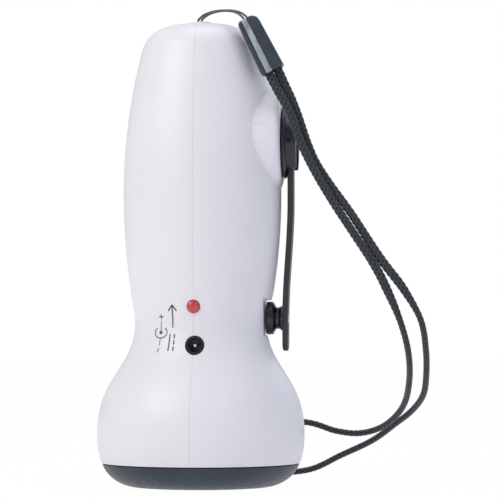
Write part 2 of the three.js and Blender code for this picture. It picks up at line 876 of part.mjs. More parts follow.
// A lamp that points down, its base against the board.
function led(name, x, y) {
  const base = ledBoardBottom - seatGap;
  const shoulder = base - ledFlangeHeight;
  const dome = shoulder - ledBodyHeight;
  const profile = [
    [0, base],
    [ledFlangeRadius, base],
    [ledFlangeRadius, shoulder],
    [ledRadius, shoulder],
    [ledRadius, dome],
    [ledRadius * Math.cos(Math.PI / 6), dome - ledRadius * Math.sin(Math.PI / 6)],
    [ledRadius * Math.cos(Math.PI / 3), dome - ledRadius * Math.sin(Math.PI / 3)],
    [0, dome - ledRadius],
  ];
  return piece(name, turned("z", profile, smallSides).translate(x, y, 0), clearPlastic);
}

// Crank hub: flange, slotted head and spindle in one moulding, along X about its own axis.
function crankHub() {
  const profile = [
    [0, spindleEnd],
    [journalRadius, spindleEnd],
    [journalRadius, plateFront + runGap],
    [spindleRadius, plateFront + runGap],
    [spindleRadius, clipBack - seatGap / 2],
    [spindleRadius - clipGrooveDepth, clipBack - seatGap / 2],
    [spindleRadius - clipGrooveDepth, clipFront + seatGap / 2],
    [spindleRadius, clipFront + seatGap / 2],
    [spindleRadius, flangeBack],
    [flangeRadius - flangeBevel / 2, flangeBack],
    [flangeRadius, flangeBack + flangeThickness / 2],
    [flangeRadius - flangeBevel, flangeFace],
    [hubRadius, flangeFace],
    [hubRadius, hubFace - hubBevel],
    [hubRadius - hubBevel, hubFace],
    [0, hubFace],
  ];
  const slotHalf = armWidth / 2 + seatGap;
  const pocketFloor = pivotX - knuckleRadius - seatGap;
  const pocketHalf = knuckleRadius + 2 * seatGap;
  return piece(
    "crank_hub",
    cut(
      turned("x", profile, gearPieceSides),
      block([flangeFace, -slotHalf, -hubRadius - overrun], [hubFace + overrun, slotHalf, hubRadius + overrun]),
      block([pocketFloor, -slotHalf, -pocketHalf], [hubFace + overrun, slotHalf, pocketHalf]),
      block([driveBack - seatGap, -spindleRadius, spindleFlat], [driveFront + seatGap, spindleRadius, flangeRadius]),
      rod("y", hingePinRadius + runGap / 2, -flangeRadius, flangeRadius, smallSides, [pivotX, 0, 0]),
    ),
    blackAbs,
  );
}

function hingePin() {
  const reach = Math.sqrt(hubRadius ** 2 - knuckleRadius ** 2) - seatGap;
  return piece("hinge_pin", rod("y", hingePinRadius, -reach, reach, smallSides, [pivotX, 0, 0]), steel);
}

// The arm: a flat strip that steps in towards the neck, with a knuckle at its hinge.
function crankArm() {
  const centre = new THREE.CubicBezierCurve(
    new THREE.Vector2(pivotX, -armStraight),
    new THREE.Vector2(pivotX, -armStraight - (crankRadius - armStraight) * armBendShare),
    new THREE.Vector2(pivotX - armJoggle, -crankRadius + (crankRadius - armStraight) * armBendShare),
    new THREE.Vector2(pivotX - armJoggle, -crankRadius),
  ).getPoints(armSteps);
  const half = armThickness / 2;
  const line = [new THREE.Vector2(pivotX, 0), ...centre, new THREE.Vector2(pivotX - armJoggle, -crankRadius - armTail)];
  const outline = [
    ...line.map((point) => new THREE.Vector2(point.x + half, point.y)),
    ...[...line].reverse().map((point) => new THREE.Vector2(point.x - half, point.y)),
  ];
  const side = new THREE.ExtrudeGeometry(new THREE.Shape(outline), { depth: armWidth, bevelEnabled: false, steps: 1 });
  side.translate(0, 0, -armWidth / 2).rotateX(Math.PI / 2);
  const tipHalf = armTipWidth / 2;
  const plan = new THREE.Shape();
  plan.moveTo(-armWidth / 2, knuckleRadius);
  plan.lineTo(-armWidth / 2, -armStraight);
  plan.lineTo(-tipHalf, -crankRadius - armTail + tipHalf);
  plan.absarc(0, -crankRadius - armTail + tipHalf, tipHalf, Math.PI, 2 * Math.PI, false);
  plan.lineTo(armWidth / 2, -armStraight);
  plan.lineTo(armWidth / 2, knuckleRadius);
  const planDepth = armThickness + armJoggle + 2 * overrun;
  const face = new THREE.ExtrudeGeometry(plan, { depth: planDepth, bevelEnabled: false, curveSegments: smallSides });
  face.rotateX(Math.PI / 2).rotateZ(Math.PI / 2);
  face.translate(armBack - armJoggle - overrun, 0, 0);
  const knobX = pivotX - armJoggle;
  const footSeat = knobX + half - rivetFootHeight;
  return piece(
    "crank_arm",
    cut(
      join(meet(side, face), rod("y", knuckleRadius, -armWidth / 2, armWidth / 2, smallSides, [pivotX, 0, 0])),
      rod("y", hingePinRadius + runGap / 2, -armWidth, armWidth, smallSides, [pivotX, 0, 0]),
      rod("x", rivetRadius + seatGap, knobX - armWidth, knobX + armWidth, smallSides, [0, 0, -crankRadius]),
      rod("x", rivetFootRadius + seatGap, footSeat, knobX + armWidth, smallSides, [0, 0, -crankRadius]),
    ),
    blackAbs,
  );
}

// The knob: a spool on the arm's inner face, its wide head towards the neck.
function crankKnob() {
  const at = (share) => knobFace - knobLength * share;
  const swell = knobHeadRadius - knobNeckRadius;
  const profile = [
    [rivetRadius + runGap, at(1)],
    [knobRimRadius, at(1)],
    [knobHeadRadius, at(knobProfileShares.end)],
    [knobHeadRadius, at(knobProfileShares.head)],
    [knobNeckRadius + swell * knobCheekShare, at(knobProfileShares.cheek)],
    [knobNeckRadius + swell * knobThroatShare, at(knobProfileShares.throat)],
    [knobNeckRadius, at(knobProfileShares.neck)],
    [knobFootRadius, at(knobProfileShares.foot)],
    [knobFootRadius, knobFace],
    [rivetRadius + runGap, knobFace],
    [rivetRadius + runGap, at(1)],
  ];
  const seat = knobEnd + rivetHeadHeight + 2 * runGap;
  return piece(
    "crank_knob",
    cut(
      turned("x", profile, gearPieceSides),
      rod("x", rivetHeadRadius + runGap, knobEnd - overrun, seat, smallSides),
    ).translate([0, 0, -crankRadius]),
    blackAbs,
  );
}

function knobRivet() {
  const headEnd = knobEnd + runGap;
  const footEnd = pivotX - armJoggle + armThickness / 2;
  const footSeat = footEnd - rivetFootHeight + seatGap;
  const profile = [
    [0, headEnd],
    [rivetHeadRadius, headEnd],
    [rivetHeadRadius, headEnd + rivetHeadHeight],
    [rivetRadius, headEnd + rivetHeadHeight],
    [rivetRadius, footSeat],
    [rivetFootRadius, footSeat],
    [rivetFootRadius, footEnd],
    [0, footEnd],
  ];
  return piece("knob_rivet", turned("x", profile, smallSides).translate(0, 0, -crankRadius), steel);
}

// Bush in the boss, with its flange on the inside.
function crankBush() {
  const inner = spindleRadius + runGap;
  const outer = inner + bushWall;
  const profile = [
    [inner, bushFlangeBack],
    [bushFlangeRadius, bushFlangeBack],
    [bushFlangeRadius, bushFlangeFace],
    [outer, bushFlangeFace],
    [outer, bossFace - seatGap],
    [inner, bossFace - seatGap],
    [inner, bushFlangeBack],
  ];
  return piece("crank_bush", turned("x", profile, gearPieceSides), acetal);
}

// The outline of a spur gear, one tooth centred on the given turn.
function gearOutline(teeth, turn) {
  const pitchRadius = (teeth * gearModule) / 2;
  const rootRadius = pitchRadius - dedendumShare * gearModule;
  const tipRadius = pitchRadius + addendumShare * gearModule;
  const halfPitch = (Math.PI * gearModule) / 2;
  const rootHalf = (rootShare * halfPitch) / rootRadius;
  const tipHalf = (tipShare * halfPitch) / tipRadius;
  const corners = [
    [rootRadius, -rootHalf],
    [tipRadius, -tipHalf],
    [tipRadius, tipHalf],
    [rootRadius, rootHalf],
  ];
  const points = [];
  for (let tooth = 0; tooth < teeth; tooth++) {
    const centre = turn + (tooth * 2 * Math.PI) / teeth;
    for (const [radius, side] of corners) {
      points.push(new THREE.Vector2(radius * Math.cos(centre + side), radius * Math.sin(centre + side)));
    }
  }
  return new THREE.Shape(points);
}

// A spur gear along X. The turn is measured in the YZ plane, from +Y towards +Z.
function gear(teeth, turn, from, to) {
  const disc = new THREE.ExtrudeGeometry(gearOutline(teeth, turn), { depth: to - from, bevelEnabled: false, steps: 1 });
  return disc.rotateX(Math.PI / 2).rotateZ(Math.PI / 2).translate(from, 0, 0);
}

const downwards = -Math.PI / 2; // from the crank's axis to the idler's
const upwards = Math.PI / 2;
const toRotor = Math.atan2(rotorHeight - idlerHeight, rotorSide); // from the idler's axis to the rotor's

// Drive gear, keyed on the spindle's flat.
function driveGear() {
  const boreRadius = spindleRadius + seatGap;
  const bore = cut(
    rod("x", boreRadius, driveBack - overrun, driveFront + overrun, gearPieceSides),
    block([driveBack - 2 * overrun, -flangeRadius, spindleFlat + seatGap], [hubFace, flangeRadius, flangeRadius]),
  );
  return piece("drive_gear", cut(gear(driveTeeth, downwards, driveBack, driveFront), bore), acetal);
}

// Spring clip that keeps the spindle from sliding out.
function spindleClip() {
  const inner = spindleRadius - clipGrooveDepth + seatGap;
  const ring = tube("x", clipRadius, inner, clipBack, clipFront, gearPieceSides);
  const mouth = block([clipBack - overrun, 0, -clipMouth / 2], [clipFront + overrun, clipRadius, clipMouth / 2]);
  return piece("spindle_clip", cut(ring, mouth), steel);
}

// Compound idler: the small gear meets the drive gear, the large one the rotor's pinion.
function idlerGear() {
  const pinionTurn = upwards + Math.PI / idlerPinionTeeth;
  const shape = join(
    gear(idlerTeeth, toRotor, idlerBack, idlerFront),
    gear(idlerPinionTeeth, pinionTurn, idlerFront - seatGap, driveFront),
    rod("x", idlerHubRadius, idlerBack - idlerHubLength, idlerFront, smallSides),
  );
  const bore = rod("x", idlerPinRadius + runGap / 2, plateBack, bossFace, smallSides);
  return piece("idler_gear", cut(shape, bore), acetal);
}

function idlerPin() {
  const from = plateBack;
  const to = driveFront + runGap + idlerPinSeat;
  return piece("idler_pin", rod("x", idlerPinRadius, from, to, smallSides), steel);
}

// Gear plate across the handle, screwed to three posts of the crank side shell.
function gearPlate() {
  const slab = block(
    [plateBack, -plateHalfWidth, idlerHeight - plateBelow],
    [plateFront, plateHalfWidth, crankHeight + plateAbove],
  );
  const span = [plateBack - overrun, plateFront + overrun];
  const holes = [
    rod("x", journalRadius + runGap, ...span, gearPieceSides, [0, 0, crankHeight]),
    rod("x", idlerPinRadius + seatGap / 2, ...span, smallSides, [0, 0, idlerHeight]),
    rod("x", rotorShaftRadius + 2 * seatGap, ...span, smallSides, [0, rotorSide, rotorHeight]),
    ...plateScrewPlaces().map(([y, z]) => rod("x", plateScrewRadius + seatGap, ...span, smallSides, [0, y, z])),
  ];
  return piece("gear_plate", cut(meet(slab, bodyForm(wall + seatGap)), ...holes), steel);
}

// Generator: can, coil, cap, magnet rotor, shaft and pinion, along X about the rotor's axis.
function generatorCan() {
  const shape = cut(
    rod("x", generatorRadius, canBack, canFront, gearPieceSides),
    rod("x", generatorRadius - canWall, canBack + canWall, canFront + overrun, gearPieceSides),
    rod("x", rotorShaftRadius + runGap, canBack - overrun, canFront, smallSides),
  );
  return piece("generator_can", shape, steel);
}

function generatorCap() {
  return piece(
    "generator_cap",
    tube("x", generatorRadius, rotorShaftRadius + runGap, capBack, capFront, gearPieceSides),
    brass,
  );
}

function generatorCoil() {
  const middle = (canBack + canWall + canFront) / 2;
  const outer = generatorRadius - canWall - seatGap;
  return piece(
    "generator_coil",
    tube("x", outer, coilInnerRadius, middle - coilLength / 2, middle + coilLength / 2, gearPieceSides),
    copper,
  );
}

function rotorMagnet() {
  const middle = (canBack + canWall + canFront) / 2;
  const bore = rotorShaftRadius + seatGap / 2;
  return piece(
    "rotor_magnet",
    tube("x", magnetRadius, bore, middle - magnetLength / 2, middle + magnetLength / 2, gearPieceSides),
    ferrite,
  );
}

function rotorShaft() {
  return piece("rotor_shaft", rod("x", rotorShaftRadius, canBack, idlerFront, smallSides), steel);
}

function rotorPinion() {
  const turn = toRotor + Math.PI + Math.PI / rotorPinionTeeth;
  const shape = gear(rotorPinionTeeth, turn, idlerBack, idlerFront);
  const bore = rod("x", rotorShaftRadius + seatGap / 2, idlerBack - overrun, idlerFront + overrun, smallSides);
  return piece("rotor_pinion", cut(shape, bore), brass);
}

// Main board, standing beside the parting plane.
function mainBoard() {
  const [screwY, screwZ] = shellScrewPlaces()[3];
  const slab = block(
    [boardBack, -boardHalfDepth, boardBottom],
    [-boardInset, boardHalfDepth, boardTop],
  );
  const hole = rod("x", shellScrewRadius + seatGap, boardBack - overrun, 0, smallSides, [0, screwY, screwZ]);
  return piece("main_board", cut(slab, hole), boardGreen);
}

// Socket: a box on the board with a round nose that fills the hole in the shells.
function dcJack() {
  const face = -bodyRadiusAt(jackHeight) + jackInset;
  const noseEnd = face + jackNoseLength;
  const low = [seatGap - boardInset, noseEnd, -jackBodyHeight / 2];
  const high = [seatGap - boardInset + jackBodyWidth, noseEnd + jackBodyDepth, jackBodyHeight / 2];
  const nose = rod("y", jackFaceRadius - seatGap / 2, face, noseEnd + overrun, gearPieceSides, [jackSide, 0, 0]);
  const bore = rod("y", jackSocketRadius, face - overrun, face + jackSocketDepth, smallSides, [jackSide, 0, 0]);
  return piece("dc_jack", cut(join(block(low, high), nose), bore).translate([0, 0, jackHeight]), blackAbs);
}

function dcJackPin() {
  const face = -bodyRadiusAt(jackHeight) + jackInset;
  const to = face + jackSocketDepth - seatGap;
  return piece(
    "dc_jack_pin",
    rod("y", jackPinRadius, face + jackPinInset, to, smallSides, [jackSide, 0, jackHeight]),
    brass,
  );
}

// Charge light: a small round lamp with a domed end, its flange behind the shells' skin.
function chargeLight() {
  const skin = -bodyRadiusAt(lightHeight);
  const radius = lightRadius - seatGap / 2;
  const dome = skin - lightProud + radius * lightDomeShare;
  const flangeAt = skin + wall + 2 * seatGap;
  const profile = [
    [0, skin - lightProud],
    [radius * Math.sin(Math.PI / 6), skin - lightProud + (dome - skin + lightProud) * (1 - Math.cos(Math.PI / 6))],
    [radius * Math.sin(Math.PI / 3), skin - lightProud + (dome - skin + lightProud) * (1 - Math.cos(Math.PI / 3))],
    [radius, dome],
    [radius, flangeAt],
    [radius + lightFlange, flangeAt],
    [radius + lightFlange, skin + lightLength],
    [0, skin + lightLength],
  ];
  return piece("charge_light", turned("y", profile, gearPieceSides).translate(0, 0, lightHeight), redLens);
}

function chargeLightHolder() {
  const skin = -bodyRadiusAt(lightHeight);
  const from = skin + lightLength + seatGap;
  const low = [seatGap - boardInset, from, lightHeight - lightRadius];
  const high = [lightRadius, -cellRadius - seatGap - wall, lightHeight + lightRadius];
  return piece("charge_light_holder", block(low, high), blackAbs);
}

// Cradle on the board with its shelves, and the stack of cells.
function cellCradle() {
  const back = seatGap - boardInset;
  const bottom = cellBottom - seatGap;
  const top = cellBottom + cellCount * (cellHeight + seatGap);
  const width = cradleHalfWidth;
  return piece(
    "cell_cradle",
    join(
      block([back, -width, bottom - cradleWall], [back + cradleWall, width, top + cradleWall]),
      block([back, -width, bottom - cradleWall], [back + cradleShelf, width, bottom]),
      block([back, -width, top], [back + cradleShelf, width, top + cradleWall]),
    ),
    blackAbs,
  );
}

function cell(index) {
  const bottom = cellBottom + index * (cellHeight + seatGap);
  return piece(
    `battery_cell_${index + 1}`,
    rod("z", cellRadius, bottom, bottom + cellHeight, gearPieceSides, [cellX, 0, 0]),
    sleeveGreen,
  );
}

function capacitor() {
  const x = capacitorRadius + seatGap - boardInset;
  const y = -boardHalfDepth + capacitorRadius;
  const bottom = lightHeight + lightRadius + 2 * wall;
  return piece(
    "capacitor",
    rod("z", capacitorRadius, bottom, bottom + capacitorLength, smallSides, [x, y, 0]),
    darkNylon,
  );
}

// Slide switch: a body on the board, and the thumb slider that reaches out through the window.
function switchBody() {
  const panelY = bodyRadiusAt(switchPanelHeight) - switchPanelDepth;
  const outerY = panelY - switchPanelWall - seatGap;
  const halfLength = switchBodyLength / 2;
  const shape = block(
    [-switchBodyWidth - seatGap * 2, outerY - switchBodyDepth, switchPanelHeight - halfLength],
    [switchBodyWidth / 2, outerY, switchPanelHeight + halfLength],
  );
  const x = switchStemWidth / 2 + runGap;
  const z = (switchStemLength + switchTravel) / 2 + 2 * runGap;
  const slot = block(
    [-x, outerY - switchBodyDepth / 2, switchPanelHeight - z],
    [x, outerY + overrun, switchPanelHeight + z],
  );
  return piece("switch_body", cut(meet(shape, boardClearance()), slot), blackAbs);
}

// The space on the near side of the main board.
function boardClearance() {
  return block([seatGap - boardInset, -headRadius, 0], [headRadius, headRadius, bodyHeight]);
}

function switchSlider() {
  const panelY = bodyRadiusAt(switchPanelHeight) - switchPanelDepth;
  const bodyY = panelY - switchPanelWall - seatGap;
  const top = switchPanelHeight + switchTravel / 2;
  const stem = block(
    [-switchStemWidth / 2, bodyY - switchBodyDepth / 2 + seatGap, top - switchStemLength / 2],
    [switchStemWidth / 2, panelY + 2 * runGap, top + switchStemLength / 2],
  );
  const padHalf = (switchPanelLength - switchTravel) / 2 - 2 * runGap;
  const padY = panelY + runGap;
  const pad = block(
    [-switchPadHalfWidth, padY, top - padHalf],
    [switchPadHalfWidth, padY + switchPadThickness, top + padHalf],
  );
  const pitch = (2 * padHalf) / (switchRibCount + 1);
  const grooves = Array.from({ length: switchRibCount }, (_, i) => {
    const z = top - padHalf + pitch * (i + 1);
    return block(
      [-switchPadHalfWidth - overrun, padY + switchPadThickness - switchRibDepth, z - switchRibWidth / 2],
      [switchPadHalfWidth + overrun, padY + switchPadThickness + overrun, z + switchRibWidth / 2],
    );
  });
  return piece("switch_slider", cut(join(stem, pad), ...grooves), greyAbs);
}

// Anchor pin for the strap, across the well in the crown.
function strapPin() {
  const reach = wellRadius + strapPinSeat;
  return piece(
    "strap_pin",
    rod("y", strapPinRadius, -reach, reach, smallSides, [0, 0, bodyHeight - strapPinDrop]),
    steel,
  );
}

// A round cord along a route of chosen points.
function cord(name, route, diameter, steps, material) {
  const path = new THREE.CatmullRomCurve3(route.map((point) => new THREE.Vector3(...point)));
  const section = Array.from({ length: cordSides }, (_, i) => {
    const turn = (i * 2 * Math.PI) / cordSides;
    return new THREE.Vector2((diameter / 2) * Math.cos(turn), (diameter / 2) * Math.sin(turn));
  });
  const shape = new THREE.ExtrudeGeometry(new THREE.Shape(section), { steps, extrudePath: path });
  return piece(name, shape, material);
}

// A stretch of the clamp between two shares of its width, wider at the lower end.
// A cutter goes past the clamp's ends and its front by the overrun.
function clampStretch(fromShare, toShare, depth, inset, past = 0) {
  const length = new THREE.Vector3(...clampTop).distanceTo(new THREE.Vector3(...clampBottom));
  const corner = (share, sideInset, height) => {
    const width = clampTopWidth - ((clampBottomWidth - clampTopWidth) * height) / length;
    return new THREE.Vector2(width * (share - 1 / 2) + sideInset, height);
  };
  const outline = new THREE.Shape([
    corner(fromShare, inset, past),
    corner(toShare, -inset, past),
    corner(toShare, -inset, -length - past),
    corner(fromShare, inset, -length - past),
  ]);
  const shape = new THREE.ExtrudeGeometry(outline, { depth: depth + past, bevelEnabled: false, steps: 1 });
  return shape.rotateX(Math.PI / 2).translate(0, depth - clampDepth / 2, 0);
}

// Places a piece of the clamp on its leaning line.
function onClamp(mesh) {
  const top = new THREE.Vector3(...clampTop);
  const bottom = new THREE.Vector3(...clampBottom);
  mesh.rotation.y = -Math.atan2(bottom.x - top.x, top.z - bottom.z);
  mesh.position.copy(top);
  return mesh;
}

// The pocket in one end of the clamp that the cords go into. The sign is 1 for the upper end.
function clampPocket({ halfWidth, halfDepth, depth }, end, sign) {
  const [low, high] = [end - sign * depth, end + sign * overrun].sort((a, b) => a - b);
  return block([-halfWidth, -halfDepth, low], [halfWidth, halfDepth, high]);
}

// The clamp: a dark body with a light insert let into its front.
function clampBody() {
  const { from, to } = clampInsertShares;
  const length = new THREE.Vector3(...clampTop).distanceTo(new THREE.Vector3(...clampBottom));
  const shape = cut(
    clampStretch(0, 1, clampDepth, 0),
    clampStretch(from, to, clampInsertDepth, 0, overrun),
    clampPocket(strapPocket, -length, -1),
    clampPocket(stringPocket, 0, 1),
  );
  return onClamp(piece("strap_clamp_body", shape, darkNylon));
}

function clampInsert() {
  const { from, to } = clampInsertShares;
  const length = new THREE.Vector3(...clampTop).distanceTo(new THREE.Vector3(...clampBottom));
  const shape = cut(
    clampStretch(from, to, clampInsertDepth - seatGap, seatGap),
    clampPocket(strapPocket, -length, -1),
    clampPocket(stringPocket, 0, 1),
  );
  return onClamp(piece("strap_clamp_insert", shape, lightNylon));
}

// The assembly
const body = bodyWithDetails();
const flashlight = new THREE.Group();
flashlight.add(crankSideShell(body), plainSideShell(body), bezelRing(), lens(), lensSeal(), reflector(), ledBoard());
ledPlaces().forEach(([x, y], i) => flashlight.add(led(`white_led_${i + 1}`, x, y)));
flashlight.add(mainBoard(), dcJack(), dcJackPin(), chargeLight(), chargeLightHolder(), capacitor());
flashlight.add(cellCradle(), switchBody(), switchSlider(), strapPin(), gearPlate());
for (let i = 0; i < cellCount; i++) flashlight.add(cell(i));

const crank = new THREE.Group();
crank.position.z = crankHeight;
crank.add(crankHub(), hingePin(), crankArm(), crankKnob(), knobRivet(), crankBush(), driveGear(), spindleClip());

const idler = new THREE.Group();
idler.position.z = idlerHeight;
idler.add(idlerGear(), idlerPin());

const generator = new THREE.Group();
generator.position.set(0, rotorSide, rotorHeight);
generator.add(generatorCan(), generatorCap(), generatorCoil(), rotorMagnet(), rotorShaft(), rotorPinion());

shellScrewPlaces().forEach(([y, z], i) => {
  const sizes = [shellScrewRadius, shellScrewHeadRadius, shellScrewHeadHeight];
  const reach = shellScrewLength - shellScrewRadius;
  flashlight.add(screw(`shell_screw_${i + 1}`, ...sizes, -shellScrewSeat - seatGap, reach, y, z));
});
plateScrewPlaces().forEach(([y, z], i) => {
  const sizes = [plateScrewRadius, plateScrewHeadRadius, plateScrewHeadHeight];
  flashlight.add(screw(`plate_screw_${i + 1}`, ...sizes, plateBack - seatGap, plateScrewReach, y, z));
});

flashlight.add(
  clampBody(),
  clampInsert(),
  cord("strap_string", stringRoute, stringDiameter, stringSteps, strapWeave),
  cord("strap_cord", strapRoute, strapDiameter, strapSteps, strapWeave),
);
flashlight.add(crank, idler, generator);

export default flashlight;
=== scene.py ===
"""Looks of a hand crank flashlight that stands lens down, its crank folded and its wrist strap hanging."""

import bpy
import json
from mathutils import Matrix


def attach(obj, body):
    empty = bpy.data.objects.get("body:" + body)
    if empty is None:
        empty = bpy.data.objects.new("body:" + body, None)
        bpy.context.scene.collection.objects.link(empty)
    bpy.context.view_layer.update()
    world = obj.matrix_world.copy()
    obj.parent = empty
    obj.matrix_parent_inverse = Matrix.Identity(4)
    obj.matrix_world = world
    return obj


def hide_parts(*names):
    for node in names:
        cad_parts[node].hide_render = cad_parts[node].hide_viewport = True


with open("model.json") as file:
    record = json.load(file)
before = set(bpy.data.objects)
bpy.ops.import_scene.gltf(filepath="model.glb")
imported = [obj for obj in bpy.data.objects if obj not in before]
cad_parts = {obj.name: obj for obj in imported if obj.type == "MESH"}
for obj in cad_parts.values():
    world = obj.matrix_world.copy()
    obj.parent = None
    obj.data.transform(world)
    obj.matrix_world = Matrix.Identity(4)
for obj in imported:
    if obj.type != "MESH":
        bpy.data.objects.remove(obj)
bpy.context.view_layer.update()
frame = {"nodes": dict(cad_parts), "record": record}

import json
import math

import bmesh
import bpy
from bpy.props import FloatProperty, FloatVectorProperty, IntProperty, PointerProperty
from mathutils import Matrix, Vector

bl_info = {
    "name": "Hand crank flashlight",
    "version": (1, 0, 0),
    "blender": (4, 5, 0),
    "location": "View3D > Sidebar > Flashlight",
    "description": "Builds the visible pieces of a hand crank flashlight on its packed frame",
    "category": "Add Mesh",
}

MM = 0.001

# The body's outline from mouth to crown: each stretch is a curve through four (radius, height) points.
BODY_CURVES = (
    ((31.7, 7.5), (32.6, 9.93), (33.1, 13.17), (33.1, 16.5)),
    ((33.1, 16.5), (33.1, 35.5), (21, 37.5), (21, 52.3)),
    ((21, 52.3), (21, 55.9), (24.75, 70), (24.75, 94)),
    ((24.75, 94), (24.75, 109.4), (22.45, 125), (19.2, 138)),
    ((19.2, 138), (17.6, 144.3), (14, 147.8), (0, 147.8)),
)
CRANK_HEIGHT = 109.5
BOSS_HEIGHT = 110.4
KNOB_HEIGHT = 53.5
PIVOT_X = 28.9
JACK_HEIGHT = 44.9
JACK_SIDE = 0.45
LIGHT_HEIGHT = 57
SWITCH_HEIGHT = 70
SCREW_PLACES = ((4, 131.5), (15.5, 84), (21, 31), (9, 40))
BOARD_SPAN = (36, 78)

# The body's form: where its crown starts to draw in, and how its crank side swells above the neck.
CROWN_START, CROWN_RISE = 94, 44
SWELL_START, SWELL_RISE, SWELL_SHARE = 48, 16, 0.04

# The crank's boss: its face along X at distances from its axis, how far out it reaches, and how softly it joins.
BOSS_STEPS = ((0, 26.2), (13.8, 26.2), (14.9, 25.8), (15.6, 25), (15.9, 23.5), (16.2, 20), (16.6, 13))
BOSS_REACH = 19
BOSS_BLEND = 0.7

# The ring groove that takes the folded knob, and the wall behind it: radii about the crank's axis, and the floor's X.
RECESS_RADII, RECESS_FLOOR = (61.7, 50.3), 20.5
RECESS_WALL_RADII, RECESS_WALL_BACK = (63.3, 48.7), 18.9

# Radii of the openings in the shells, and of the posts that the screws go into.
SPINDLE_BORE = 5.15
JACK_BORE = 3.05
LIGHT_BORE = 2.15
CROWN_WELL = 2.6
SCREW_POST, SCREW_WELL, SCREW_BORE = 3.9, 2.85, 1.5
PANEL_DEPTH = 1.3

# The arm: its thickness, and how far, from where and over what length it steps in towards the neck.
ARM_THICKNESS = 1.8
ARM_JOGGLE = 1.7
ARM_STEP_DROP, ARM_STEP_RUN = 19, 37
HINGE_PIN_RADIUS, HINGE_BORE = 0.6, 0.72

# The charge light's dome, and the print: the radius that its arc lengths are taken on, and how far it stands proud.
LIGHT_RADIUS = 2.08
PRINT_RADIUS, PRINT_LIFT = 21.2, 0.03

STRING_ROUTE = (
    (15.8, -13.75, 146.75),
    (13.72, -12.3, 149.05),
    (11.91, -10.4, 150.21),
    (9.52, -8.4, 150.87),
    (6.94, -6.3, 151.14),
    (3.93, -3.9, 150.82),
    (2.03, -2.3, 150.21),
    (0.27, -0.7, 148.83),
    (0.6, -0.5, 147.2),
    (1.6, -0.3, 145.1),
    (1.25, -0.15, 143.7),
    (0, 0, 143.1),
    (-1.25, 0.15, 143.7),
    (-1.6, 0.3, 145.1),
    (-1.5, 0.6, 147.3),
    (-1, 0.9, 149.17),
    (0.41, 0.1, 150.44),
    (2.14, -1.3, 151.08),
    (5.05, -3.8, 151.49),
    (8.34, -6.2, 151.36),
    (11.12, -8.5, 150.94),
    (13.43, -10.6, 150.13),
    (15.07, -12.9, 149.02),
    (16.85, -14.25, 147.25),
)
STRAP_ROUTE = (
    (25, -13.5, 133.1),
    (28.1, -13, 126.22),
    (31.37, -12.1, 118.87),
    (34.79, -11.6, 108.79),
    (37.49, -11.5, 102.48),
    (41.49, -11.6, 96.15),
    (48.54, -12, 86.35),
    (58.19, -12, 71.58),
    (65.23, -11.7, 62.18),
    (70.33, -10.3, 52.81),
    (71.81, -4.5, 43.39),
    (71.58, 5.5, 33.77),
    (70.54, 12, 28.83),
    (66.67, 22, 23.55),
    (60.44, 31, 18.53),
    (53.23, 38.5, 13.22),
    (42.36, 45.5, 7.87),
    (30.51, 50.5, 2.52),
    (10, 52.4, 2),
    (-1.6, 49.2, 5),
    (-2.8, 40.4, 14.4),
    (8, 35.6, 18.4),
    (31.42, 37.4, 19.07),
    (41.24, 36.9, 16.26),
    (48.65, 35, 15.6),
    (56.49, 30, 17.86),
    (63.27, 20.5, 24.07),
    (66.25, 6, 33.43),
    (66.15, -4.8, 43.39),
    (63.79, -10.3, 52.81),
    (60.2, -11.8, 61.56),
    (56.15, -12.6, 69.69),
    (48.85, -13.3, 80.96),
    (43.88, -12.9, 88.53),
    (39.33, -13.8, 96.03),
    (35.89, -14, 102.32),
    (32.92, -14.1, 108.61),
    (29.5, -14.6, 118.03),
    (25.29, -14.55, 125.94),
    (22.25, -14.5, 131.9),
)
STRAP_LENGTH = 448
CLAMP_TOP = Vector((15.97, -14, 147.67))
CLAMP_BOTTOM = Vector((24.39, -14, 130.97))
CLAMP_WIDTHS = (6.65, 7.7)
CLAMP_DEPTH = 6.2

# The photograph's view, in metres, and its lens and sensor, in millimetres.
CAMERA_PLACE = Vector((0.0881, -0.7948, 0.0480))
CAMERA_AIM = Vector((0.0156, 0.0014, 0.0753))
CAMERA_LENS, CAMERA_SENSOR, CAMERA_REACH = 180, 36, 20

# How much of the floor is seen as plain white, so that the rest still shows the torch's shadow.
FLOOR_GLOW = 0.97
FLOOR_SIZE = 4
ROOM_COLOUR, ROOM_STRENGTH = "#E9ECFA", 0.62

# The soft lights: name, place in metres, width in metres, watts and colour. They all face the torch's middle.
SOFTBOXES = (
    ("key_softbox", (-0.75, -0.75, 0.75), 0.8, 6.5, "#FFF7E3"),
    ("fill_softbox", (0.9, -0.7, 0.95), 0.8, 1.1, "#EEF0FF"),
    ("top_softbox", (0.1, 0.1, 1.2), 0.8, 4.0, "#FAFBFF"),
    ("back_softbox", (0.5, 0.9, 0.6), 0.6, 0.9, "#F4F6FF"),
)
TORCH_MIDDLE = Vector((0, 0, 0.075))


# Colours and materials


def linear(hex_colour):
    """An sRGB hex colour as linear red, green, blue and alpha."""
    values = [int(hex_colour[i : i + 2], 16) / 255 for i in (1, 3, 5)]
    return tuple(v / 12.92 if v <= 0.04045 else ((v + 0.055) / 1.055) ** 2.4 for v in values) + (1.0,)


def add_node(tree, kind, sockets=None, **settings):
    """Adds a node with its settings. A socket's value is a number, a colour or another node's output."""
    made = tree.nodes.new(kind)
    for name, value in settings.items():
        setattr(made, name, value)
    for name, value in (sockets or {}).items():
        if isinstance(value, bpy.types.NodeSocket):
            tree.links.new(value, made.inputs[name])
        else:
            made.inputs[name].default_value = value
    return made


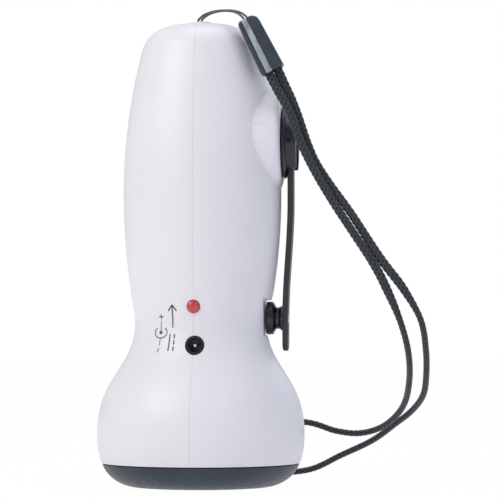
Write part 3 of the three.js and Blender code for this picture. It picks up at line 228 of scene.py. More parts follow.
def new_material(name, **shader_values):
    """An empty material with its shader, whose constants are set on the shader's own sockets."""
    material = bpy.data.materials.get(name)
    if material:
        return material, None, None
    material = bpy.data.materials.new(name)
    material.use_nodes = True
    tree = material.node_tree
    tree.nodes.clear()
    shader = add_node(tree, "ShaderNodeBsdfPrincipled", {k.replace("_", " "): v for k, v in shader_values.items()})
    add_node(tree, "ShaderNodeOutputMaterial", {"Surface": shader.outputs["BSDF"]})
    return material, tree, shader


def object_noise(tree, size_mm, detail=2.0, stretch=(1, 1, 1)):
    """Noise on object coordinates whose grains are about size_mm across."""
    place = add_node(tree, "ShaderNodeTexCoord")
    turned_place = add_node(tree, "ShaderNodeMapping", {"Vector": place.outputs["Object"], "Scale": stretch})
    return add_node(
        tree,
        "ShaderNodeTexNoise",
        {"Vector": turned_place.outputs["Vector"], "Scale": 1 / (size_mm * MM), "Detail": detail},
    ).outputs["Fac"]


def between(tree, factor, low, high, start=0.35, end=0.65):
    """A colour or grey that goes from low to high as the factor goes from start to end."""
    ramp = add_node(tree, "ShaderNodeValToRGB", {"Fac": factor})
    ramp.color_ramp.elements[0].position = start
    ramp.color_ramp.elements[1].position = end
    ramp.color_ramp.elements[0].color = low
    ramp.color_ramp.elements[1].color = high
    return ramp.outputs["Color"]


def grey(value):
    """A roughness as a grey for a ramp."""
    return (value, value, value, 1.0)


def connect(tree, shader, **outputs):
    """Links outputs to the shader's inputs, with _ for a space in their names."""
    for name, output in outputs.items():
        tree.links.new(output, shader.inputs[name.replace("_", " ")])


def bump(tree, height, depth_mm, strength=1.0):
    """A normal from a height, with its relief in millimetres."""
    return add_node(
        tree, "ShaderNodeBump", {"Height": height, "Distance": depth_mm * MM, "Strength": strength}
    ).outputs["Normal"]


def white_abs():
    """Glossy injection moulded ABS: an even white with a faint cool cast, mirror soft from its polished mould."""
    colours = bpy.context.scene.torch_colours
    material, tree, shader = new_material("moulded_white_abs", IOR=1.54, Coat_Weight=0.12, Coat_Roughness=0.2)
    if not tree:
        return material
    cloud = object_noise(tree, 34, 3)
    shade = tuple(c * 0.965 for c in colours.body[:3]) + (1.0,)
    flow = object_noise(tree, 6, 3, (1, 1, 0.25))
    grain = object_noise(tree, 0.45, 2)
    connect(
        tree,
        shader,
        Base_Color=between(tree, cloud, shade, tuple(colours.body)),
        Roughness=between(tree, flow, grey(0.38), grey(0.46)),
        Normal=bump(tree, grain, 0.012, 0.5),
    )
    return material


def slate_abs():
    """Satin ABS in slate grey, from a lightly etched mould, with the scuffs of a rim that is stood on."""
    colours = bpy.context.scene.torch_colours
    material, tree, shader = new_material("satin_slate_abs", IOR=1.54)
    if not tree:
        return material
    cloud = object_noise(tree, 9, 4)
    scuff = object_noise(tree, 1.6, 5, (1, 1, 5))
    grain = object_noise(tree, 0.3, 2)
    light = tuple(min(1, c * 1.35 + 0.004) for c in colours.bezel[:3]) + (1.0,)
    connect(
        tree,
        shader,
        Base_Color=between(tree, cloud, tuple(colours.bezel), light, 0.3, 0.8),
        Roughness=between(tree, scuff, grey(0.36), grey(0.52)),
        Normal=bump(tree, grain, 0.02, 0.6),
    )
    return material


def black_abs(name="satin_black_abs", roughness=(0.34, 0.46), hex_colour="#1B2127"):
    """Black ABS: satin on the crank, where a fine etched grain breaks its highlights."""
    material, tree, shader = new_material(name, IOR=1.54)
    if not tree:
        return material
    cloud = object_noise(tree, 5, 3)
    grain = object_noise(tree, 0.28, 2)
    base = linear(hex_colour)
    light = tuple(c * 1.5 for c in base[:3]) + (1.0,)
    connect(
        tree,
        shader,
        Base_Color=between(tree, cloud, base, light, 0.3, 0.8),
        Roughness=between(tree, cloud, grey(roughness[0]), grey(roughness[1])),
        Normal=bump(tree, grain, 0.015, 0.5),
    )
    return material


def gloss_black_abs():
    """Polished black ABS, as on the knob and the socket, which shows sharp small highlights."""
    return black_abs("gloss_black_abs", (0.12, 0.22), "#0C1014")


def dark_nylon():
    """Moulded nylon of the strap's clamp: dark grey with a blue cast and a soft sheen."""
    return black_abs("dark_clamp_nylon", (0.3, 0.42), "#252F35")


def light_nylon():
    """Light grey nylon insert, a little translucent, with paler streaks drawn out along the height."""
    material, tree, shader = new_material("light_clamp_nylon", IOR=1.53, Subsurface_Weight=0.08)
    if not tree:
        return material
    streak = object_noise(tree, 2.2, 3, (1, 1, 0.3))
    connect(
        tree,
        shader,
        Base_Color=between(tree, streak, linear("#7F8A92"), linear("#A9B2B8")),
        Roughness=between(tree, streak, grey(0.2), grey(0.3)),
        Normal=bump(tree, object_noise(tree, 0.4, 2), 0.02, 0.5),
    )
    return material


def weave_cord(name, dark, light, crest_highlight, thread_mm):
    """Braided or twisted cord: the relief's own height paints shade into the furrows and a highlight on the crests, and
    fine threads run over each strand.
    """
    material, tree, shader = new_material(name, IOR=1.5, Sheen_Weight=0.25, Sheen_Roughness=0.5)
    if not tree:
        return material
    height = add_node(tree, "ShaderNodeAttribute", attribute_name="weave").outputs["Fac"]
    flat = add_node(tree, "ShaderNodeUVMap", uv_map="cord")
    threads = add_node(
        tree, "ShaderNodeTexNoise", {"Vector": flat.outputs["UV"], "Scale": 1 / thread_mm, "Detail": 3.0}
    ).outputs["Fac"]
    # The weave's height times the threads: low in the furrows, which the ramp darkens as painted shade, high on the
    # crests.
    mixed = add_node(tree, "ShaderNodeMath", {0: height, 1: threads}, operation="MULTIPLY").outputs["Value"]
    shade = between(tree, mixed, linear(dark), linear(light), 0.12, 0.5)
    # The last stop is a painted highlight on the crests of the strands.
    crest_highlight_stop = shade.node.color_ramp.elements.new(0.62)
    crest_highlight_stop.color = linear(crest_highlight)
    connect(
        tree,
        shader,
        Base_Color=shade,
        Roughness=between(tree, threads, grey(0.62), grey(0.85)),
        Normal=bump(tree, threads, 0.06, 0.7),
    )
    return material


def braided_polyester():
    """Braided polyester of the strap: near black, with painted shade in the furrows and painted highlights on the
    crests of its strands.
    """
    # The first colour shows in the furrows as painted shade, the last on the crests as a painted highlight.
    return weave_cord("braided_polyester", "#080B0E", "#262E34", "#66707A", 0.22)


def twisted_string():
    """Twisted string at the crown: a warm dark grey, with painted shade between its plies and a painted highlight on
    their crests.
    """
    # The first colour shows between the plies as painted shade, the last on their crests as a painted highlight.
    return weave_cord("twisted_string", "#2B2926", "#66635F", "#8F8B86", 0.12)


def red_lens():
    """Tinted red acrylic of the charge light: deep red that lights up where light passes through its dome."""
    material, tree, shader = new_material(
        "red_tinted_acrylic", IOR=1.49, Coat_Weight=0.6, Coat_Roughness=0.05, Transmission_Weight=0.15
    )
    if not tree:
        return material
    speck = object_noise(tree, 1.1, 2)
    connect(
        tree,
        shader,
        Base_Color=between(tree, speck, linear("#C2303C"), linear("#DC4A50")),
        Roughness=between(tree, speck, grey(0.16), grey(0.26)),
        Normal=bump(tree, object_noise(tree, 0.5, 2), 0.02, 0.4),
    )
    return material


def metal(name, low, high, roughness, grain_mm, stretch=(1, 1, 1)):
    """A bare or plated metal with the fine lines that its forming leaves."""
    material, tree, shader = new_material(name, Metallic=1.0)
    if not tree:
        return material
    lines = object_noise(tree, grain_mm, 4, stretch)
    connect(
        tree,
        shader,
        Base_Color=between(tree, lines, linear(low), linear(high)),
        Roughness=between(tree, lines, grey(roughness[0]), grey(roughness[1])),
        Normal=bump(tree, lines, 0.01, 0.5),
    )
    return material


def zinc_steel():
    """Zinc plated steel: pale grey with a faint blotch from the plating bath."""
    return metal("zinc_plated_steel", "#A9ADB2", "#C9CCCF", (0.22, 0.36), 1.4)


def blackened_steel_and_hub_shade():
    """Steel blackened in an oil bath: dark grey with a faint cloud, dark partly as painted shade, so that the pin's end
    stays quiet in the hub.
    """
    return metal("blackened_steel_and_hub_shade", "#34373C", "#484C52", (0.45, 0.6), 1.2)


def turned_brass():
    """Turned brass under a nickel flash: pale silver, with fine lathe lines round it."""
    return metal("nickel_flashed_brass", "#C4C4C2", "#E6E8EA", (0.16, 0.26), 0.5, (8, 1, 1))


def copper_winding():
    """Enamelled copper wire, wound: brown orange with the furrows between the turns."""
    return metal("copper_winding", "#7A3E1C", "#BF7440", (0.28, 0.42), 0.35, (6, 1, 1))


def plated_reflector():
    """Vacuum plated plastic: a mirror with a trace of orange peel."""
    return metal("vacuum_plating", "#DDE0E3", "#F0F1F2", (0.04, 0.09), 4)


def dull_plastic(name, low, high, roughness=(0.45, 0.6), grain_mm=0.5):
    """Plain matte plastic, rubber, sleeve or laminate of a piece that mostly stays out of sight."""
    material, tree, shader = new_material(name, IOR=1.5)
    if not tree:
        return material
    cloud = object_noise(tree, 3, 3)
    connect(
        tree,
        shader,
        Base_Color=between(tree, cloud, linear(low), linear(high)),
        Roughness=between(tree, cloud, grey(roughness[0]), grey(roughness[1])),
        Normal=bump(tree, object_noise(tree, grain_mm, 2), 0.03, 0.6),
    )
    return material


def clear_acrylic():
    """Clear moulded acrylic of the lens and the lamps, with faint polishing haze."""
    material, tree, shader = new_material("clear_acrylic", IOR=1.49, Transmission_Weight=0.96)
    if not tree:
        return material
    haze = object_noise(tree, 7, 3)
    connect(
        tree,
        shader,
        Base_Color=between(tree, haze, linear("#F2F6F8"), linear("#FFFFFF")),
        Roughness=between(tree, haze, grey(0.02), grey(0.06)),
    )
    return material


def ink():
    """Pad printed grey ink, thin and slightly worn."""
    material, tree, shader = new_material("pad_printed_ink", IOR=1.45)
    if not tree:
        return material
    wear = object_noise(tree, 0.8, 4)
    connect(
        tree,
        shader,
        Base_Color=between(tree, wear, linear("#3A3E46"), linear("#565B63")),
        Roughness=between(tree, wear, grey(0.4), grey(0.6)),
    )
    return material


# Shapes. They are made in millimetres and brought to metres when a piece is placed.


def curve_points(corners, count):
    """Points along a curve through four control points, without its first one."""
    a, b, c, d = (Vector(p) for p in corners)
    made = []
    for i in range(1, count + 1):
        t = i / count
        made.append(a * (1 - t) ** 3 + b * 3 * t * (1 - t) ** 2 + c * 3 * t * t * (1 - t) + d * t**3)
    return [tuple(p) for p in made]


def body_outline(counts, inset=0.0):
    """The body's outline as (radius, height) points, drawn in by the inset."""
    points = [(BODY_CURVES[0][0][0] - inset, BODY_CURVES[0][0][1])]
    for corners, count in zip(BODY_CURVES, counts):
        for radius, height in curve_points(corners, count):
            share = max(0.0, min(1.0, (height - CROWN_START) / CROWN_RISE))
            points.append((max(0.0, radius - inset * (radius > 0)), height - inset * share))
    return points


BODY_POINTS = body_outline((6, 30, 44, 80, 28))


def body_radius(height):
    """The body's outer radius at a height."""
    for (r0, z0), (r1, z1) in zip(BODY_POINTS, BODY_POINTS[1:]):
        if z0 <= height <= z1:
            return r0 + (r1 - r0) * (height - z0) / max(z1 - z0, 1e-9)
    return 0.0


def swell(height):
    """How much fuller the crank's side is at a height, as a factor on X."""
    share = min(1, max(0, (height - SWELL_START) / SWELL_RISE))
    return 1 + SWELL_SHARE * share * share * (3 - 2 * share)


def turned(profile, steps=64, axis="z", offset=(0, 0, 0)):
    """A turned solid. The profile is a list of (radius, place along the axis), on the axis at both ends or closed."""
    bm = bmesh.new()
    verts = [bm.verts.new((r, 0, z)) for r, z in profile]
    edges = [bm.edges.new(pair) for pair in zip(verts, verts[1:])]
    bmesh.ops.spin(
        bm, geom=verts + edges, cent=(0, 0, 0), axis=(0, 0, 1), angle=2 * math.pi, steps=steps, use_merge=True
    )
    bmesh.ops.remove_doubles(bm, verts=bm.verts, dist=1e-4)
    bmesh.ops.dissolve_degenerate(bm, edges=bm.edges, dist=1e-5)
    bmesh.ops.recalc_face_normals(bm, faces=bm.faces)
    turn = {"x": Matrix.Rotation(math.pi / 2, 4, "Y"), "y": Matrix.Rotation(-math.pi / 2, 4, "X")}
    if axis in turn:
        bmesh.ops.transform(bm, matrix=turn[axis], verts=bm.verts)
    bmesh.ops.translate(bm, vec=offset, verts=bm.verts)
    return bm


def rod(radius, start, end, axis="z", offset=(0, 0, 0), steps=48):
    """A plain cylinder along an axis."""
    return turned([(0, start), (radius, start), (radius, end), (0, end)], steps, axis, offset)


def ring(outer, inner, start, end, axis="z", offset=(0, 0, 0), steps=64):
    """A plain tube along an axis."""
    profile = [(inner, start), (outer, start), (outer, end), (inner, end), (inner, start)]
    return turned(profile, steps, axis, offset)


def slab(low, high):
    """A box from its low corner to its high corner."""
    bm = bmesh.new()
    bmesh.ops.create_cube(bm, size=1)
    size = [b - a for a, b in zip(low, high)]
    middle = [(a + b) / 2 for a, b in zip(low, high)]
    bmesh.ops.scale(bm, vec=size, verts=bm.verts)
    bmesh.ops.translate(bm, vec=middle, verts=bm.verts)
    return bm


def soften(bm, width, segments=3, angle=35):
    """Rounds the edges that are sharper than the angle."""
    sharp = [e for e in bm.edges if e.is_manifold and e.calc_face_angle(0) > math.radians(angle)]
    bmesh.ops.bevel(
        bm, geom=sharp, offset=width, segments=segments, affect="EDGES", profile=0.5, material=-1, clamp_overlap=True
    )
    return bm


def new_object(name, bm):
    """An object from a shape, which is freed."""
    mesh = bpy.data.meshes.new(name)
    bm.to_mesh(mesh)
    bm.free()
    made = bpy.data.objects.new(name, mesh)
    bpy.context.scene.collection.objects.link(made)
    return made


def combine(target, operation, *shapes):
    """Joins, cuts or keeps what is common with each shape, and clears the shapes away."""
    for bm in shapes:
        other = new_object("cutter", bm)
        step = target.modifiers.new("step", "BOOLEAN")
        step.operation = operation
        step.solver = "MANIFOLD"
        step.object = other
        before = len(target.data.vertices)
        evaluated = target.evaluated_get(bpy.context.evaluated_depsgraph_get())
        mesh = bpy.data.meshes.new_from_object(evaluated)
        target.modifiers.clear()
        if not len(mesh.vertices) or (len(mesh.vertices) == before and operation != "UNION"):
            raise RuntimeError(f"{target.name}: a {operation.lower()} step changed nothing")
        target.data = mesh
        bpy.data.objects.remove(other)
    return target


def taken_back(target):
    """The shape of an object, which is removed."""
    bm = bmesh.new()
    bm.from_mesh(target.data)
    bpy.data.objects.remove(target)
    return bm


def place(target, body, material, replaces=(), slot=None, edge_angle=32):
    """Brings a piece to metres, smooths its faces up to the edge angle, and hangs it on its body."""
    bm = bmesh.new()
    bm.from_mesh(target.data)
    bmesh.ops.remove_doubles(bm, verts=bm.verts, dist=1e-4)
    bmesh.ops.transform(bm, matrix=Matrix.Scale(MM, 4), verts=bm.verts)
    for face in bm.faces:
        face.smooth = True
    for edge in bm.edges:
        edge.smooth = edge.calc_face_angle(0) < math.radians(edge_angle)
    bm.to_mesh(target.data)
    bm.free()
    target.data.materials.clear()
    target.data.materials.append(material)
    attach(target, body)
    if replaces:
        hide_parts(*replaces)
    return target


# Cords


def smooth_route(route, spacing):
    """Evenly spaced points on a smooth curve through the route's points, in millimetres."""
    points = [Vector(p) for p in route]
    points = [points[0] * 2 - points[1], *points, points[-1] * 2 - points[-2]]
    dense = []
    for a, b, c, d in zip(points, points[1:], points[2:], points[3:]):
        t0 = 0.0
        t1 = t0 + math.sqrt((b - a).length)
        t2 = t1 + math.sqrt((c - b).length)
        t3 = t2 + math.sqrt((d - c).length)
        for i in range(24):
            t = t1 + (t2 - t1) * i / 24
            ab = a * ((t1 - t) / (t1 - t0)) + b * ((t - t0) / (t1 - t0))
            bc = b * ((t2 - t) / (t2 - t1)) + c * ((t - t1) / (t2 - t1))
            cd = c * ((t3 - t) / (t3 - t2)) + d * ((t - t2) / (t3 - t2))
            abc = ab * ((t2 - t) / (t2 - t0)) + bc * ((t - t0) / (t2 - t0))
            bcd = bc * ((t3 - t) / (t3 - t1)) + cd * ((t - t1) / (t3 - t1))
            dense.append(abc * ((t2 - t) / (t2 - t1)) + bcd * ((t - t1) / (t2 - t1)))
    dense.append(points[-2])
    travelled = [0.0]
    for p, q in zip(dense, dense[1:]):
        travelled.append(travelled[-1] + (q - p).length)
    count = max(8, round(travelled[-1] / spacing))
    made, k = [], 0
    for i in range(count + 1):
        goal = travelled[-1] * i / count
        while k < len(dense) - 2 and travelled[k + 1] < goal:
            k += 1
        share = (goal - travelled[k]) / max(travelled[k + 1] - travelled[k], 1e-9)
        made.append(dense[k].lerp(dense[k + 1], min(1, share)))
    return made, travelled[-1]


def cord_mesh(name, centre, diameter, sides, relief, weave, flatness=None):
    """A closed tube along the centre points, its skin lifted and sunk by the weave.

    Flatness gives, at a share of the length, how much broader than round the cord is across the view from the front.
    """
    bm = bmesh.new()
    weave_layer = bm.verts.layers.float.new("weave")
    uv = bm.loops.layers.uv.new("cord")
    radius = diameter / 2
    rings, along, lengths = [], 0.0, []
    for i, point in enumerate(centre):
        after = centre[min(i + 1, len(centre) - 1)]
        before = centre[max(i - 1, 0)]
        forward = (after - before).normalized()
        across = forward.cross(Vector((0, 1, 0))).normalized()
        up = forward.cross(across)
        broad = flatness(i / (len(centre) - 1)) if flatness else 1
        if i:
            along += (point - centre[i - 1]).length
        lengths.append(along)
        verts = []
        for k in range(sides):
            turn = 2 * math.pi * k / sides
            height = weave(turn, along)
            reach = radius * (1 - relief * (1 - height))
            out = across * math.cos(turn) * broad + up * math.sin(turn) * (2 - broad)
            vert = bm.verts.new(point + out * reach)
            # The height is kept for the material, which paints shade in the furrows and highlights on the crests from
            # it.
            vert[weave_layer] = height
            verts.append(vert)
        rings.append(verts)
    width = math.pi * diameter
    for i, (low, high) in enumerate(zip(rings, rings[1:])):
        for k in range(sides):
            n = (k + 1) % sides
            face = bm.faces.new((low[k], low[n], high[n], high[k]))
            corners = ((k, i), (k + 1, i), (k + 1, i + 1), (k, i + 1))
            for loop, (u, v) in zip(face.loops, corners):
                loop[uv].uv = (u / sides * width, lengths[v])
    bm.faces.new(list(reversed(rings[0])))
    bm.faces.new(rings[-1])
    return new_object(name, bm)


def braid(turn, along, carriers=4, pitch=7.0):
    """Height of a round braid, 0 to 1: two sets of strands that cross."""
    one = math.cos(carriers * turn + 2 * math.pi * carriers * along / pitch)
    two = math.cos(carriers * turn - 2 * math.pi * carriers * along / pitch)
    return max(0.0, 0.5 + 0.5 * max(one, two)) ** 0.8


def twist(turn, along, plies=3, pitch=3.2):
    """Height of a twisted string, 0 to 1."""
    return abs(math.cos(plies * turn / 2 + math.pi * plies * along / pitch / 1.5))


def smooth_share(value, low, high):
    """How far a value is from low to high, 0 to 1, eased at both ends."""
    share = min(1, max(0, (value - low) / (high - low)))
    return share * share * (3 - 2 * share)


def strap_flatness(share):
    """The strap's braid is flattened to the front where its strands lie together, and stands on edge in the loop."""
    from_end = min(share, 1 - share) * STRAP_LENGTH
    below_clamp = 0.14 * smooth_share(from_end, 10, 16)
    before_parting = 0.08 * smooth_share(from_end, 60, 74)
    in_loop = 0.38 * smooth_share(from_end, 78, 92)
    return 1.34 - below_clamp + before_parting - in_loop


# Sizes and colours that a user would change


class TorchSizes(bpy.types.PropertyGroup):
    strap_diameter: FloatProperty(
        name="Strap diameter",
        description="Diameter of the round cord of the wrist strap",
        default=0.0023,
        unit="LENGTH",
    )
    string_diameter: FloatProperty(
        name="String diameter", description="Diameter of the thin loop at the crown", default=0.00075, unit="LENGTH"
    )
    seam: FloatProperty(
        name="Seam", description="Width of the line between the two half shells", default=0.00004, unit="LENGTH"
    )
    wall: FloatProperty(name="Wall", description="Thickness of the shells", default=0.002, unit="LENGTH")
    edge: FloatProperty(
        name="Edge rounding", description="Rounding of the crank's moulded edges", default=0.0003, unit="LENGTH"
    )
    facets: IntProperty(name="Facets", description="Facets round the body", default=256, min=48, max=320)


class TorchColours(bpy.types.PropertyGroup):
    body: FloatVectorProperty(
        name="Body", description="Colour of the body shells", subtype="COLOR", size=4, default=linear("#E6E6EB")
    )
    bezel: FloatVectorProperty(
        name="Bezel",
        description="Colour of the bezel and the slider",
        subtype="COLOR",
        size=4,
        default=linear("#16283A"),
    )
    floor: FloatVectorProperty(
        name="Floor", description="Colour of the floor and backdrop", subtype="COLOR", size=4, default=linear("#FAFAFA")
    )


# Operators


class TORCH_OT_stage(bpy.types.Operator):
    """Add the camera, the pale floor, the world and the soft lights"""

    bl_idname = "torch.stage"
    bl_label = "Stage"

    def execute(self, context):
        scene = context.scene
        scene.view_settings.view_transform = "Standard"
        camera = bpy.data.objects.new("camera", bpy.data.cameras.new("camera"))
        scene.collection.objects.link(camera)
        camera.data.lens = CAMERA_LENS
        camera.data.sensor_width = CAMERA_SENSOR
        camera.data.clip_end = CAMERA_REACH
        camera.location = CAMERA_PLACE
        camera.rotation_mode = "QUATERNION"
        camera.rotation_quaternion = (CAMERA_AIM - CAMERA_PLACE).to_track_quat("-Z", "Y")
        scene.camera = camera

        bm = bmesh.new()
        bmesh.ops.create_grid(bm, x_segments=1, y_segments=1, size=FLOOR_SIZE)
        floor = new_object("floor", bm)
        material = bpy.data.materials.new("pale_floor")
        material.use_nodes = True
        tree = material.node_tree
        tree.nodes.clear()
        colour = tuple(scene.torch_colours.floor)
        matt = add_node(tree, "ShaderNodeBsdfDiffuse", {"Color": colour})
        glow = add_node(tree, "ShaderNodeEmission", {"Color": (1, 1, 1, 1), "Strength": 1.0})
        path = add_node(tree, "ShaderNodeLightPath")
        seen = add_node(
            tree,
            "ShaderNodeMath",
            {0: path.outputs["Is Camera Ray"], 1: path.outputs["Is Glossy Ray"]},
            operation="MAXIMUM",
        )
        through = add_node(
            tree,
            "ShaderNodeMath",
            {0: seen.outputs["Value"], 1: path.outputs["Is Transmission Ray"]},
            operation="MAXIMUM",
        )
        share = add_node(tree, "ShaderNodeMath", {0: through.outputs["Value"], 1: FLOOR_GLOW}, operation="MULTIPLY")
        mixed = add_node(tree, "ShaderNodeMixShader", {0: share.outputs["Value"]})
        tree.links.new(matt.outputs["BSDF"], mixed.inputs[1])
        tree.links.new(glow.outputs["Emission"], mixed.inputs[2])
        add_node(tree, "ShaderNodeOutputMaterial", {"Surface": mixed.outputs["Shader"]})
        floor.data.materials.append(material)

        world = bpy.data.worlds.new("soft_room")
        scene.world = world
        world.use_nodes = True
        tree = world.node_tree
        tree.nodes.clear()
        path = add_node(tree, "ShaderNodeLightPath")
        seen = add_node(
            tree,
            "ShaderNodeMath",
            {0: path.outputs["Is Camera Ray"], 1: path.outputs["Is Transmission Ray"]},
            operation="MAXIMUM",
        )
        room = add_node(tree, "ShaderNodeBackground", {"Color": linear(ROOM_COLOUR), "Strength": ROOM_STRENGTH})
        backdrop = add_node(tree, "ShaderNodeBackground", {"Color": (1, 1, 1, 1), "Strength": 1.0})
        mixed = add_node(tree, "ShaderNodeMixShader", {0: seen.outputs["Value"]})
        tree.links.new(room.outputs["Background"], mixed.inputs[1])
        tree.links.new(backdrop.outputs["Background"], mixed.inputs[2])
        add_node(tree, "ShaderNodeOutputWorld", {"Surface": mixed.outputs["Shader"]})

        for name, where, size, watts, hex_colour in SOFTBOXES:
            lamp = bpy.data.objects.new(name, bpy.data.lights.new(name, "AREA"))
            lamp.data.shape = "SQUARE"
            lamp.data.size = size
            lamp.data.energy = watts
            lamp.data.color = linear(hex_colour)[:3]
            lamp.location = where
            lamp.rotation_mode = "QUATERNION"
            lamp.rotation_quaternion = (TORCH_MIDDLE - lamp.location).to_track_quat("-Z", "Y")
            scene.collection.objects.link(lamp)
        return {"FINISHED"}


class TORCH_OT_strap(bpy.types.Operator):
    """Add the loop of round cord and the thin string that holds it"""

    bl_idname = "torch.strap"
    bl_label = "Wrist strap"

    def execute(self, context):
        sizes = context.scene.torch_sizes
        centre, length = smooth_route(STRAP_ROUTE, 0.34)
        diameter = sizes.strap_diameter / MM
        strap = cord_mesh("strap_cord_braid", centre, diameter, 24, 0.16, braid, strap_flatness)
        place(strap, "torch", braided_polyester(), ["strap_cord"], "strap_weave", 80)
        centre, length = smooth_route(STRING_ROUTE, 0.22)
        string = cord_mesh("strap_string_twist", centre, sizes.string_diameter / MM, 12, 0.14, twist)
        place(string, "torch", twisted_string(), ["strap_string"], "strap_weave", 80)
        return {"FINISHED"}


def clamp_bar(share_from, share_to, depth, proud=0.0, past=0.0):
    """A stretch of the clamp's width, before it leans.

    Proud is how far its face stands out, and past is how far its ends do.
    """
    length = (CLAMP_TOP - CLAMP_BOTTOM).length
    front = -CLAMP_DEPTH / 2 - proud
    bm = slab((0, front, -length - past), (1, front + depth, past))
    top, bottom = CLAMP_WIDTHS
    for vert in bm.verts:
        width = top - (bottom - top) * vert.co.z / length
        vert.co.x = width * (share_from + (share_to - share_from) * vert.co.x - 0.5)
    return bm


def round_corner(bm, left, top, width):
    """Rounds one of the four corners of the clamp's outline."""
    length = (CLAMP_TOP - CLAMP_BOTTOM).length
    middle = sum(v.co.x for v in bm.verts) / len(bm.verts)
    for edge in bm.edges[:]:
        a, b = (v.co for v in edge.verts)
        along_y = abs(a.x - b.x) + abs(a.z - b.z) < 1e-6
        if along_y and (a.x < middle) == left and (a.z > -length / 2) == top:
            bmesh.ops.bevel(bm, geom=[edge], offset=width, segments=8, affect="EDGES", profile=0.5, material=-1)
            return bm
    raise RuntimeError("the clamp has no such corner")


def lean_clamp(target):
    """Leans an upright clamp piece to the clamp's place."""
    line = CLAMP_BOTTOM - CLAMP_TOP
    turn = Matrix.Rotation(-math.atan2(line.x, -line.z), 4, "Y")
    target.data.transform(Matrix.Translation(CLAMP_TOP) @ turn)
    return target


class TORCH_OT_clamp(bpy.types.Operator):
    """Add the strap's two-tone clamp"""

    bl_idname = "torch.clamp"
    bl_label = "Strap clamp"

    def execute(self, context):
        length = (CLAMP_TOP - CLAMP_BOTTOM).length
        bar = clamp_bar(0, 1, CLAMP_DEPTH)
        for left, top, width in ((True, True, 1.6), (False, True, 2.4), (True, False, 0.9), (False, False, 0.9)):
            round_corner(bar, left, top, width)
        shell = new_object("strap_clamp_shell", soften(bar, 0.75, 5))
        insert = clamp_bar(0.215, 0.505, 2.9, 0.12, 0.02)
        insert = new_object("strap_clamp_bar", soften(insert, 0.55, 5))
        combine(shell, "DIFFERENCE", clamp_bar(0.2, 0.52, 4.2, 1, 1))
        for target in (shell, insert):
            strap_mouth = soften(slab((-2.95, -2.6, -length - 1), (2.95, 2.6, -length + 2.1)), 0.4, 3)
            string_mouth = soften(slab((-1.3, -0.9, -1.2), (1.3, 0.9, 1)), 0.3, 3)
            combine(target, "DIFFERENCE", strap_mouth, string_mouth)
        place(lean_clamp(shell), "torch", dark_nylon(), ["strap_clamp_body"], "dark_nylon")
        place(lean_clamp(insert), "torch", light_nylon(), ["strap_clamp_insert"], "light_nylon")
        return {"FINISHED"}


def boss_height(distance):
    """How far the crank's boss stands out along X at a distance from its axis."""
    for (r0, x0), (r1, x1) in zip(BOSS_STEPS, BOSS_STEPS[1:]):
        if distance <= r1:
            return x0 + (x1 - x0) * (distance - r0) / (r1 - r0)
    return -99.0


def smooth_higher(a, b, width):
    """The larger of two heights, blended where they are closer than the width."""
    near = max(width - abs(a - b), 0) / width
    return max(a, b) + near * near * width / 4


def shell_wall(facets, wall):
    """The whole body as one turned wall, with the boss drawn out of its crank side."""
    outer = BODY_POINTS[::-1]
    inner = body_outline((2, 12, 14, 16, 10), wall)
    inner[0] = (inner[0][0], outer[-1][1])
    bm = turned(outer + inner, facets)
    for vert in bm.verts:
        x, y, z = vert.co
        if x <= 0:
            continue
        outside = math.hypot(x, y) > body_radius(z) - wall / 2
        x *= swell(z)
        distance = math.hypot(y, z - BOSS_HEIGHT)
        if outside and x > 10 and distance < BOSS_REACH:
            x = max(x, smooth_higher(x, boss_height(distance), BOSS_BLEND))
        vert.co.x = x
    return bm


def inner_form():
    """The body's form drawn in to the middle of its wall."""
    bm = turned([(0, 7.5), *body_outline((2, 10, 12, 12, 8), 1), (0, 147)], 72)
    for vert in bm.verts:
        if vert.co.x > 0:
            vert.co.x *= swell(vert.co.z)
    return bm


